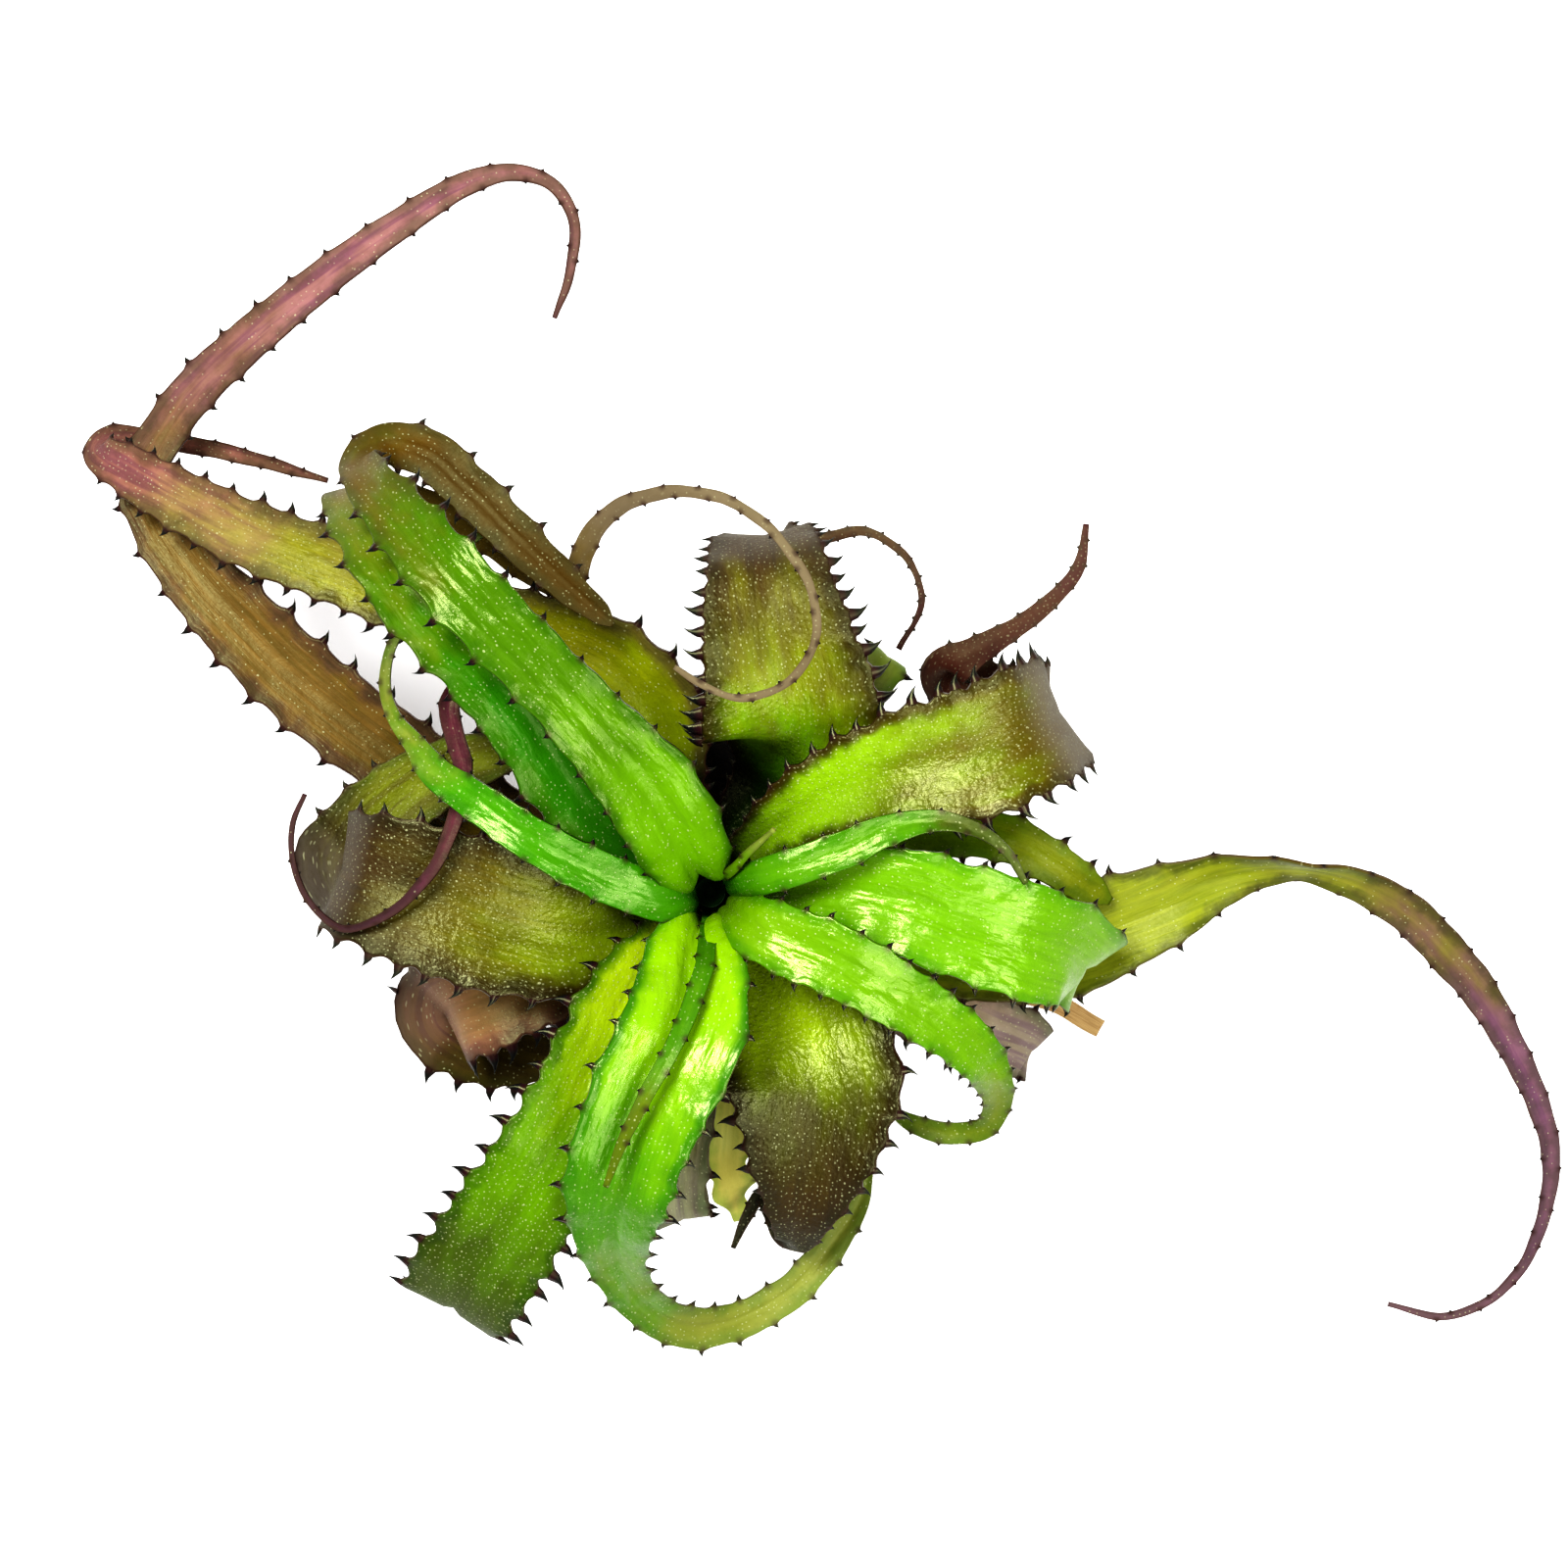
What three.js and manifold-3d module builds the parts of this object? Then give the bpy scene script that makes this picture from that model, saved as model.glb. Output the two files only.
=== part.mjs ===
import * as THREE from "three";
import { mergeVertices } from "three/addons/utils/BufferGeometryUtils.js";
import Module from "manifold-3d";

// Neoregelia pendula in a small nursery pot. Millimetres, +Z up, origin under the middle of the
// pot's foot. +X is the right of the photograph and +Y its top, because it was taken from above.

// Pot and potting mix
const POT_HEIGHT = 66;
const POT_TOP_RADIUS = 43;
const POT_FOOT_RADIUS = 31;
const POT_WALL = 1.4;
const POT_FLOOR = 2;
const RIM_WIDTH = 2.2;
const RIM_DEPTH = 6;
const DRAIN_HOLE_RADIUS = 4;
const DRAIN_HOLE_CIRCLE = 21;
const DRAIN_HOLES = 5;
const MIX_LEVEL = 60;
const CLEARANCE = 0.3;

// Stem
const STEM_FOOT_Z = 34;
const STEM_TOP_Z = 99;
const STEM_RADIUS = 6;
const STEM_NECK_Z = 94;
const STEM_NECK_RADIUS = 3.9;
const STEM_TOP_RADIUS = 0.8;
const STEM_SIDES = 14;

// Leaves
const BLADE_THICKNESS = 0.8;
const MARGIN_THICKNESS = 0.6;
const SPINE_FOOT = 1.5;
const BARE_BASE = 16;
const BASE_HALF_WIDTH = 2.4;
const CHANNEL_AT_BASE = 0.42;
const CHANNEL_AT_TIP = 0.06;

// A leaf's way is noted as it shows from above, at the height of the leaves. What lies deeper
// looks smaller from the viewing height, so it is spread from the viewing axis again.
const VIEW_X = 15;
const VIEW_Y = 22;
const VIEW_HEIGHT = 820;
const LEAF_HEIGHT = 120;

// Each leaf: foot = [direction in degrees, height on the stem], spine = longest spine,
// pitch = distance between spines, way = [x, y, height, half width, roll in degrees].
const LEAVES = [
  {
    name: "leaf_01",
    foot: [72, 96],
    spine: 0.7,
    pitch: 9,
    way: [
      [5, 5.5, 109, 1.3],
      [9, 9.5, 118, 1],
      [13, 13, 125, 0.5],
    ],
  },
  {
    name: "leaf_02",
    foot: [280, 94.5],
    spine: 0.9,
    pitch: 8,
    way: [
      [0, -9, 112, 1.8],
      [-1, -15, 123, 1.8],
      [-6, -28, 131, 1.6],
      [-12, -39, 133, 1.4],
      [-17, -49, 131, 1],
      [-20, -57, 128, 0.5],
    ],
  },
  {
    name: "leaf_03",
    foot: [112, 93],
    spine: 2.4,
    pitch: 8,
    way: [
      [-3, 7.4, 106, 4.4],
      [-6.3, 13, 116.5, 8.6],
      [-12.8, 20.4, 124, 10.8],
      [-21.5, 29, 130, 10],
      [-31, 39.5, 134, 9],
      [-41.5, 51, 136, 8.6],
      [-52, 63.5, 135, 8],
      [-61.5, 75.5, 128, 7.2],
      [-66.5, 82.5, 120, 6.2],
      [-67, 85.5, 112, 5.2],
      [-62.5, 87.5, 106.5, 4.6],
      [-56, 87.2, 105, 4.5],
      [-47, 80, 106, 4.2],
      [-36.5, 69.5, 108, 3.4],
      [-27, 60.5, 107, 2.2],
      [-20, 54.5, 105, 0.5],
    ],
  },
  {
    name: "leaf_04",
    foot: [256, 87],
    spine: 2.8,
    pitch: 8,
    way: [
      [-2.5, -8.5, 103, 4.8],
      [-2.8, -13, 113, 8],
      [-3, -18.5, 120, 10],
      [-5, -27, 126, 12],
      [-10.5, -38, 127, 11.8],
      [-14.3, -47, 126, 11],
      [-17.5, -57, 122, 10.4],
      [-18.6, -66.5, 114, 9.2],
      [-16.6, -74, 104.5, 7.6],
      [-11.5, -80.8, 95, 5.8],
      [-4, -84.5, 87, 4.4],
      [6, -83.3, 80, 3.8],
      [17, -77, 77, 3.6],
      [25, -67.5, 75, 3.2],
      [30, -59.5, 73, 2],
      [32, -53, 72, 0.5],
    ],
  },
  {
    name: "leaf_05",
    foot: [320, 91],
    spine: 2.2,
    pitch: 7.5,
    way: [
      [11.5, -7.3, 116, 5.2],
      [19, -10, 120, 6.6],
      [26, -13, 122, 6.8],
      [34, -17.5, 121, 6.4],
      [43, -23, 117, 5.8],
      [51.5, -29.5, 111, 5.2],
      [55.6, -35.5, 104, 4.4],
      [56.4, -40.8, 97, 3.6],
      [53.5, -45.2, 91, 3.1],
      [47, -46.5, 87, 2.7],
      [40, -44.5, 85, 2],
      [35, -41, 84, 0.5],
    ],
  },
  {
    name: "leaf_06",
    foot: [28, 93.5],
    spine: 1.2,
    pitch: 8,
    way: [
      [14, 4.9, 116, 3],
      [27.5, 9.4, 120, 3.6],
      [35, 12.8, 121, 3],
      [45.5, 14.8, 119, 2],
      [53.5, 12.7, 118, 1.3],
      [58.5, 9, 118.5, 0.9],
      [62.5, 2.5, 119.5, 0.5],
    ],
  },
  {
    name: "leaf_07",
    foot: [196, 89],
    spine: 1.6,
    pitch: 7.5,
    way: [
      [-10, 0, 107, 4.2],
      [-19, 3.2, 114.5, 4.6],
      [-33.5, 10.6, 121, 4.2],
      [-44.5, 18, 119, 3.8],
      [-53.5, 24.5, 114, 3.1],
      [-58, 30.5, 110, 2.2],
      [-61.5, 35, 107, 1.6],
      [-63.3, 41, 104, 1.5],
      [-62.7, 47, 102, 1.4],
      [-60, 53, 100.5, 1.3],
      [-54, 62, 99, 1.1],
      [-46.5, 69.5, 98.5, 0.9],
      [-42, 72.5, 98, 0.5],
    ],
  },
  {
    name: "leaf_08",
    foot: [358, 87],
    spine: 2.4,
    pitch: 8,
    way: [
      [14, 1, 103, 5],
      [23, 1.5, 110, 6.5],
      [32, 0.6, 114, 8.6],
      [39, -1, 115, 10.4],
      [48, -4.2, 115.5, 11],
      [57, -7, 115, 11.4],
      [65, -10, 112, 11.4],
      [72, -13, 106, 10.8],
      [74.5, -14.5, 99, 9.4],
      [70, -13.5, 94.5, 7.4],
      [62, -11.5, 95, 5],
      [53, -9, 96.5, 0.8],
    ],
  },
  {
    name: "leaf_09",
    foot: [152, 87.5],
    spine: 3,
    pitch: 8.5,
    way: [
      [-12, 7.4, 100.5, 6],
      [-19.5, 13.4, 107.5, 8],
      [-27, 23, 115, 8.6],
      [-35, 35, 121, 8.6],
      [-46, 48, 125, 8.4],
      [-56, 58, 126, 8],
      [-64, 69, 121, 7.4],
      [-68, 76, 113.5, 6.8],
      [-69.5, 80, 104, 5.8],
      [-66.5, 79.5, 96, 5],
      [-56, 76.5, 93, 3.8],
      [-40, 70, 91, 2.8],
      [-29.5, 65, 92, 2.5],
      [-24.6, 67.5, 97, 2.3],
      [-21, 73, 104, 2.1],
      [-15, 76.4, 111, 1.9],
      [-7.5, 77.9, 117, 1.7],
      [0, 76.6, 121, 1.5],
      [7.5, 73, 124, 1.4],
      [14.3, 67.4, 126, 1.3],
      [19, 61, 126, 1.2],
      [20.7, 54.5, 125, 1.1],
      [19.2, 47.3, 122, 1],
      [14.5, 40.8, 119, 0.9],
      [7.5, 38.3, 117, 0.8],
      [2, 39.6, 116, 0.7],
      [-6.5, 45, 116, 0.5],
    ],
  },
  {
    name: "leaf_10",
    foot: [230, 84.5],
    spine: 4.4,
    pitch: 8,
    way: [
      [-10, -12, 100, 6.5],
      [-15, -20, 107, 8.6],
      [-19.5, -30, 111, 9.6],
      [-25, -42, 113, 10.2],
      [-30.5, -51.5, 113, 10.6],
      [-37, -61, 109, 11],
      [-43, -70, 102.5, 11.4],
      [-48, -77.5, 95, 11.6],
      [-50, -81, 86, 9.6],
      [-49, -79, 79, 7.4],
      [-43, -70, 74, 5],
      [-36, -60, 73, 0.8],
    ],
  },
  {
    name: "leaf_11",
    foot: [140, 83.5],
    spine: 1.1,
    pitch: 9,
    way: [
      [-14, 15, 97, 4],
      [-27, 29, 104, 3.6],
      [-38, 38.5, 109, 2.9],
      [-46, 42, 111, 2.3],
      [-50.5, 38.5, 112, 1.9],
      [-49.5, 31, 112, 1.9],
      [-48, 25, 112, 1.8],
      [-49, 17.5, 112, 1.7],
      [-51.5, 10, 112, 1.6],
      [-54.5, 4.5, 112, 1.5],
      [-60, -1.5, 111, 1.3],
      [-66, -5.2, 110, 1.1],
      [-72, -6.3, 108, 0.9],
      [-77.5, -2, 106, 0.8],
      [-81, 5, 104, 0.7],
      [-81.5, 14, 102, 0.6],
      [-79, 20, 101, 0.5],
    ],
  },
  {
    name: "leaf_12",
    foot: [192, 80],
    spine: 4,
    pitch: 8,
    way: [
      [-12.5, -5.5, 92, 6],
      [-21, -7.5, 97, 10],
      [-31, -7, 102, 13],
      [-42.5, -4, 105, 14.4],
      [-54, 0, 106, 14],
      [-62, 3, 105, 13.4],
      [-68.5, 6, 101.5, 12.4],
      [-71, 9.5, 96, 10],
      [-70.5, 17, 91.5, 7.8],
      [-65, 23.8, 90, 7],
      [-56, 27.5, 90, 6],
      [-43, 28.8, 90, 4.4],
      [-31, 28.5, 90, 0.8],
    ],
  },
  {
    name: "leaf_13",
    foot: [42, 80],
    spine: 4.6,
    pitch: 7,
    way: [
      [13, 13, 94, 5.6],
      [19, 17.5, 101, 7.2],
      [28, 21.7, 106, 8.8],
      [39, 25.2, 110, 10.6],
      [52, 28, 112, 12.2],
      [61.5, 32, 110.5, 12],
      [67, 34.5, 105.5, 11.4],
      [69, 35.8, 97, 10.2],
      [67.5, 36.4, 88, 8.8],
      [61, 37.8, 81, 7.4],
      [54, 39.8, 78, 6.4],
      [48, 42, 78.5, 5.6],
      [46, 43.8, 83, 5],
      [48.5, 45.6, 87, 4.2],
      [54, 48.8, 88, 2.8],
      [61, 53, 87.5, 2],
      [68, 58.5, 87, 1.6],
      [73, 65, 86.5, 1.2],
      [74.2, 73, 86, 0.5],
    ],
  },
  {
    name: "leaf_14",
    foot: [304, 78.5],
    spine: 4.4,
    pitch: 6.5,
    way: [
      [10, -14, 90, 8],
      [15.5, -22, 98, 13.4],
      [19.3, -31, 103, 17],
      [19.8, -39.5, 105, 17],
      [20.3, -47, 105, 16],
      [22.2, -53, 102.5, 16],
      [25, -57, 97, 15.6],
      [25.2, -58, 89, 12],
      [20.5, -56.5, 81.5, 7],
      [14.5, -55.5, 77, 2.6],
      [10.5, -58, 76, 1.4],
      [7.5, -64.5, 75, 1],
      [5, -69.5, 74, 0.5],
    ],
  },
  {
    name: "leaf_15",
    foot: [76, 69],
    spine: 6.2,
    pitch: 6,
    way: [
      [5.5, 14.5, 69.5, 4.6],
      [11, 21.5, 72, 7],
      [15.4, 26, 82, 13],
      [16.4, 29.5, 94, 17],
      [16.4, 35, 101, 16.8],
      [15.6, 41.5, 104, 15.8],
      [13.8, 50, 106, 14.2],
      [12.3, 59.5, 105.5, 12.3],
      [11.3, 66.5, 102, 10.8],
      [10.8, 70, 94, 9.6],
      [11.2, 70.5, 85, 8],
      [13, 69, 78, 5.6],
      [17, 67.5, 75, 3],
      [22.5, 70, 76, 1.5],
      [31, 71.5, 78, 1.2],
      [38.5, 67, 79, 1],
      [42, 59.5, 79, 0.8],
      [41.2, 55, 78, 0.7],
      [37.5, 48.5, 76, 0.5],
    ],
  },
  {
    name: "leaf_16",
    foot: [16, 77.5],
    spine: 2.8,
    pitch: 8,
    way: [
      [15, 5, 82, 4.4],
      [28, 9.5, 87, 5],
      [41, 12, 92, 5],
      [52, 12.6, 95.5, 5],
      [60.5, 10.6, 98, 4.6],
      [69, 5.6, 96.5, 4.2],
      [75.5, 1.2, 93, 3.2],
      [79, -1, 90.5, 0.8],
    ],
  },
  {
    name: "leaf_17",
    foot: [350, 75],
    spine: 2.8,
    pitch: 10,
    way: [
      [15, -2.5, 79, 6],
      [27, -4, 82, 8.5],
      [42, -7, 84, 11],
      [57, -9, 84.5, 12],
      [71, -8.6, 85, 11],
      [81, -5, 86, 9.6],
      [90, -1.4, 87, 8.2],
      [99.5, 3, 88, 6, 20],
      [109, 5.2, 88.5, 4.4, 45],
      [117.5, 5.2, 88, 4, 65],
      [127, 2.8, 86, 4, 40],
      [137, -2.9, 82, 4.2, 20],
      [145, -11, 77, 4.2, 10],
      [151.5, -18.8, 72, 3.8],
      [158, -30, 65, 3],
      [162.5, -39.5, 59, 2.5],
      [165.4, -50, 52, 2],
      [164.5, -61, 45, 1.5],
      [160, -72.5, 39, 1.1],
      [153, -79.5, 35, 0.9],
      [144, -82.5, 32, 0.8],
      [133.5, -80, 30, 0.5],
    ],
  },
  {
    name: "leaf_18",
    foot: [106, 72.5],
    spine: 3.6,
    pitch: 9,
    way: [
      [-7.5, 20, 79, 7.2],
      [-10.5, 35, 87, 9.6],
      [-21, 45.6, 90, 9.6],
      [-35, 50.6, 91, 9],
      [-50, 55.5, 90.5, 8],
      [-65, 61.5, 90, 7.4],
      [-77, 66, 89, 7],
      [-89, 70.5, 88, 6.8],
      [-103, 77.5, 85, 6],
      [-113.5, 83.5, 80, 5],
      [-119.5, 87.6, 74, 3.6],
      [-116.5, 90, 69, 2.6],
      [-108, 89.6, 66, 2],
      [-94, 87, 64, 1.7],
      [-84.5, 84.5, 63, 1.3],
      [-74.5, 81.5, 62, 0.5],
    ],
  },
  {
    name: "leaf_19",
    foot: [208, 72],
    spine: 4,
    pitch: 8,
    way: [
      [-16, -9, 81, 7],
      [-29, -14, 88, 9],
      [-40, -18, 90, 9.8],
      [-46.5, -20.5, 87.5, 9.6],
      [-49.2, -23.5, 81.5, 8.6],
      [-48, -28, 75.5, 7.2],
      [-44, -31.5, 72, 6],
      [-36, -32, 70, 4.6],
      [-28, -31, 70, 0.8],
    ],
  },
  {
    name: "leaf_20",
    foot: [334, 71.5],
    spine: 3,
    pitch: 9,
    way: [
      [18, -9.5, 73, 6],
      [31, -15.5, 76, 7.4],
      [43, -21.5, 78.5, 8],
      [53, -26, 80, 8],
      [61, -29, 77.5, 7.4],
      [63.5, -30.5, 74, 6],
      [59, -30, 71.5, 4.2],
      [51, -28, 71, 0.8],
    ],
  },
  {
    name: "leaf_21",
    foot: [256, 71],
    spine: 3,
    pitch: 9,
    way: [
      [-2, -19, 80, 5.6],
      [-2, -33, 87, 6.6],
      [-2.5, -46, 90, 7],
      [-3, -56, 89, 6.8],
      [-3, -63, 83, 6],
      [-4, -62, 77.5, 4.6],
      [-3.5, -54, 75, 3],
      [-3, -46, 74, 0.8],
    ],
  },
  {
    name: "leaf_22",
    foot: [54, 66.5],
    spine: 3,
    pitch: 9,
    way: [
      [14, 17, 69, 4.6],
      [24, 31, 76, 5],
      [31.5, 41.5, 80, 5],
      [35, 46.5, 77, 4.4],
      [35, 46, 71, 3.4],
      [33, 40, 68, 0.8],
    ],
  },
  {
    name: "leaf_23",
    foot: [282, 67],
    spine: 3,
    pitch: 9,
    way: [
      [5, -18, 72, 5],
      [6.5, -32, 77, 5.6],
      [5, -45, 78, 5.4],
      [5, -54, 73, 4.4],
      [5.5, -60.5, 67.5, 2.6],
      [6, -63.5, 63, 0.8],
    ],
  },
  {
    name: "leaf_24",
    foot: [168, 68],
    spine: 3.2,
    pitch: 9.5,
    way: [
      [-20, 5, 73, 6],
      [-38, 13, 76, 7.6],
      [-55, 23.5, 78, 8.4],
      [-70, 34, 79, 8.6],
      [-82, 44, 79, 8.5],
      [-92, 54, 79, 8],
      [-101, 64, 78, 7],
      [-108, 74.5, 76, 6],
      [-110.5, 83, 74, 5],
      [-106, 92, 74, 4.6],
      [-100.2, 99.6, 76, 4.6],
      [-91.5, 107.8, 79, 4.4],
      [-80, 117.5, 82, 4],
      [-70, 125.2, 84, 3.6],
      [-59.5, 132.5, 85, 3.1],
      [-48, 139.5, 85, 2.5],
      [-39, 142, 83, 1.8],
      [-31, 140, 80, 1.4],
      [-26.4, 133.3, 76, 1.2],
      [-27, 122.5, 71, 1],
      [-30, 113.5, 66, 0.5],
    ],
  },
  {
    name: "dry_leaf",
    foot: [322, 64.5],
    spine: 0,
    pitch: 12,
    way: [
      [18, -9, 66.5, 3],
      [36, -13.5, 69, 2.6],
      [54, -17.5, 67, 2.2],
      [67, -20.5, 65, 2],
      [77, -26, 63, 1.9],
    ],
  },
];

const wasm = await Module();
wasm.setup();

const group = new THREE.Group();
group.name = "neoregelia_pendula";

// Small repeatable differences between spines.
function makeRandom(seed) {
  let state = seed;
  return () => {
    state = (state * 1664525 + 1013904223) % 4294967296;
    return state / 4294967296;
  };
}

function addPiece(name, geometry, colour) {
  const mesh = new THREE.Mesh(
    geometry,
    new THREE.MeshStandardMaterial({ color: colour, roughness: 0.6 }),
  );
  mesh.name = name;
  group.add(mesh);
}

function solidOf(geometry) {
  const bare = geometry.clone();
  bare.deleteAttribute("normal");
  bare.deleteAttribute("uv");
  const merged = mergeVertices(bare);
  return new wasm.Manifold(
    new wasm.Mesh({
      numProp: 3,
      vertProperties: new Float32Array(merged.attributes.position.array),
      triVerts: new Uint32Array(merged.index.array),
    }),
  );
}

function geometryOf(solid) {
  const mesh = solid.getMesh();
  const geometry = new THREE.BufferGeometry();
  geometry.setAttribute("position", new THREE.BufferAttribute(mesh.vertProperties, 3));
  geometry.setIndex(new THREE.BufferAttribute(mesh.triVerts, 1));
  return geometry;
}

// A turned piece: the profile runs from the axis at the bottom, outside and back to the axis.
function turned(profile, sides) {
  const points = profile.map(([r, z]) => new THREE.Vector2(r, z));
  const geometry = new THREE.LatheGeometry(points, sides);
  geometry.rotateX(Math.PI / 2);
  return geometry;
}

function stemRadius(z) {
  const share = THREE.MathUtils.clamp((z - MIX_LEVEL) / (STEM_NECK_Z - MIX_LEVEL), 0, 1);
  const tip = THREE.MathUtils.clamp((z - STEM_NECK_Z) / (STEM_TOP_Z - STEM_NECK_Z), 0, 1);
  const neck = THREE.MathUtils.lerp(STEM_RADIUS, STEM_NECK_RADIUS, share);
  return THREE.MathUtils.lerp(neck, STEM_TOP_RADIUS, tip);
}

function potInnerRadius(z) {
  return THREE.MathUtils.lerp(POT_FOOT_RADIUS, POT_TOP_RADIUS, z / POT_HEIGHT) - POT_WALL;
}

function makePot() {
  const body = turned(
    [
      [0, 0],
      [POT_FOOT_RADIUS, 0],
      [potInnerRadius(POT_HEIGHT - RIM_DEPTH) + POT_WALL, POT_HEIGHT - RIM_DEPTH],
      [POT_TOP_RADIUS + RIM_WIDTH, POT_HEIGHT - RIM_DEPTH],
      [POT_TOP_RADIUS + RIM_WIDTH, POT_HEIGHT],
      [potInnerRadius(POT_HEIGHT), POT_HEIGHT],
      [potInnerRadius(POT_FLOOR), POT_FLOOR],
      [0, POT_FLOOR],
    ],
    40,
  );
  let solid = solidOf(body);
  for (let i = 0; i < DRAIN_HOLES; i += 1) {
    const angle = (i / DRAIN_HOLES) * 2 * Math.PI;
    const drill = new THREE.CylinderGeometry(DRAIN_HOLE_RADIUS, DRAIN_HOLE_RADIUS, 10, 12);
    drill.rotateX(Math.PI / 2);
    drill.translate(DRAIN_HOLE_CIRCLE * Math.cos(angle), DRAIN_HOLE_CIRCLE * Math.sin(angle), 0);
    solid = solid.subtract(solidOf(drill));
  }
  return geometryOf(solid);
}

function makeMix() {
  const foot = POT_FLOOR + CLEARANCE;
  const body = turned(
    [
      [0, foot],
      [potInnerRadius(foot) - CLEARANCE, foot],
      [potInnerRadius(MIX_LEVEL - 1) - CLEARANCE, MIX_LEVEL - 1],
      [potInnerRadius(MIX_LEVEL) * 0.8, MIX_LEVEL + 0.5],
      [0, MIX_LEVEL],
    ],
    40,
  );
  const hole = turned(
    [
      [0, STEM_FOOT_Z - CLEARANCE],
      [STEM_RADIUS + CLEARANCE, STEM_FOOT_Z - CLEARANCE],
      [STEM_RADIUS + CLEARANCE, MIX_LEVEL + 10],
      [0, MIX_LEVEL + 10],
    ],
    STEM_SIDES,
  );
  return geometryOf(solidOf(body).subtract(solidOf(hole)));
}

function makeStem() {
  return turned(
    [
      [0, STEM_FOOT_Z],
      [STEM_RADIUS, STEM_FOOT_Z],
      [STEM_RADIUS, MIX_LEVEL],
      [STEM_NECK_RADIUS, STEM_NECK_Z],
      [STEM_TOP_RADIUS, STEM_TOP_Z],
      [0, STEM_TOP_Z],
    ],
    STEM_SIDES,
  );
}

// The place in space of a point noted in the view from above.
function deepen([x, y, z]) {
  const spread = (VIEW_HEIGHT - z) / (VIEW_HEIGHT - LEAF_HEIGHT);
  return new THREE.Vector3(VIEW_X + (x - VIEW_X) * spread, VIEW_Y + (y - VIEW_Y) * spread, z);
}

// The midline of a leaf, with its half width, roll and crosswise direction at any length.
function traceLeaf(leaf) {
  const [direction, footZ] = leaf.foot;
  const azimuth = THREE.MathUtils.degToRad(direction);
  const footRadius = stemRadius(footZ) + CLEARANCE + BLADE_THICKNESS * 0.8;
  const foot = new THREE.Vector3(
    footRadius * Math.cos(azimuth),
    footRadius * Math.sin(azimuth),
    footZ,
  );
  const points = [foot, ...leaf.way.map(deepen)];
  const shapes = [
    new THREE.Vector3(BASE_HALF_WIDTH, 0, 0),
    ...leaf.way.map(([, , , halfWidth, roll = 0]) => new THREE.Vector3(halfWidth, roll, 0)),
  ];
  shapes[0].x = Math.min(BASE_HALF_WIDTH, shapes[1].x * 1.2);
  const midline = new THREE.CatmullRomCurve3(points, false, "centripetal");
  const shape = new THREE.CatmullRomCurve3(shapes, false, "catmullrom", 0.4);
  const steps = 24 * (points.length - 1);
  const up = new THREE.Vector3(0, 0, 1);
  const samples = [];
  let across = new THREE.Vector3(-Math.sin(azimuth), Math.cos(azimuth), 0);
  let length = 0;
  for (let i = 0; i <= steps; i += 1) {
    const t = i / steps;
    const point = midline.getPoint(t);
    const along = midline.getTangent(t);
    if (i > 0) length += point.distanceTo(samples[i - 1].point);
    // A lying blade keeps its width level; where it hangs, it keeps the direction it had.
    const level = new THREE.Vector3().crossVectors(up, along);
    const lying = Math.min(1, level.length() * level.length() * 1.5);
    if (level.dot(across) < 0) level.negate();
    across = across.clone().lerp(level.normalize(), lying * 0.25);
    across.addScaledVector(along, -across.dot(along)).normalize();
    const { x: halfWidth, y: roll } = shape.getPoint(t);
    const rolled = across.clone().applyAxisAngle(along, THREE.MathUtils.degToRad(roll));
    samples.push({ length, point, along, across: rolled, halfWidth: Math.max(0.45, halfWidth) });
  }
  return { samples, length };
}

// The sample at a length, mixed from its two neighbours.
function sampleAt(trace, length) {
  const wanted = THREE.MathUtils.clamp(length, 0, trace.length);
  let i = 1;
  while (i < trace.samples.length - 1 && trace.samples[i].length < wanted) i += 1;
  const a = trace.samples[i - 1];
  const b = trace.samples[i];
  const share = (wanted - a.length) / Math.max(1e-6, b.length - a.length);
  const mixed = (key) => a[key].clone().lerp(b[key], share);
  const along = mixed("along").normalize();
  const across = mixed("across").normalize();
  return {
    point: mixed("point"),
    along,
    across,
    face: new THREE.Vector3().crossVectors(along, across).normalize(),
    halfWidth: THREE.MathUtils.lerp(a.halfWidth, b.halfWidth, share),
    part: wanted / trace.length,
  };
}

// Lengths of the rows across the blade: two close rows for each pair of spines.
function rowLengths(leaf, trace, random) {
  const rows = [0, BARE_BASE * 0.35];
  const spined = [];
  let at = BARE_BASE * 0.7;
  while (at < trace.length - leaf.pitch * 0.8) {
    rows.push(at - SPINE_FOOT / 2, at + SPINE_FOOT / 2);
    spined.push(rows.length - 2);
    at += leaf.pitch * (0.9 + 0.2 * random());
  }
  rows.push(trace.length);
  return { rows, spined };
}

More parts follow.
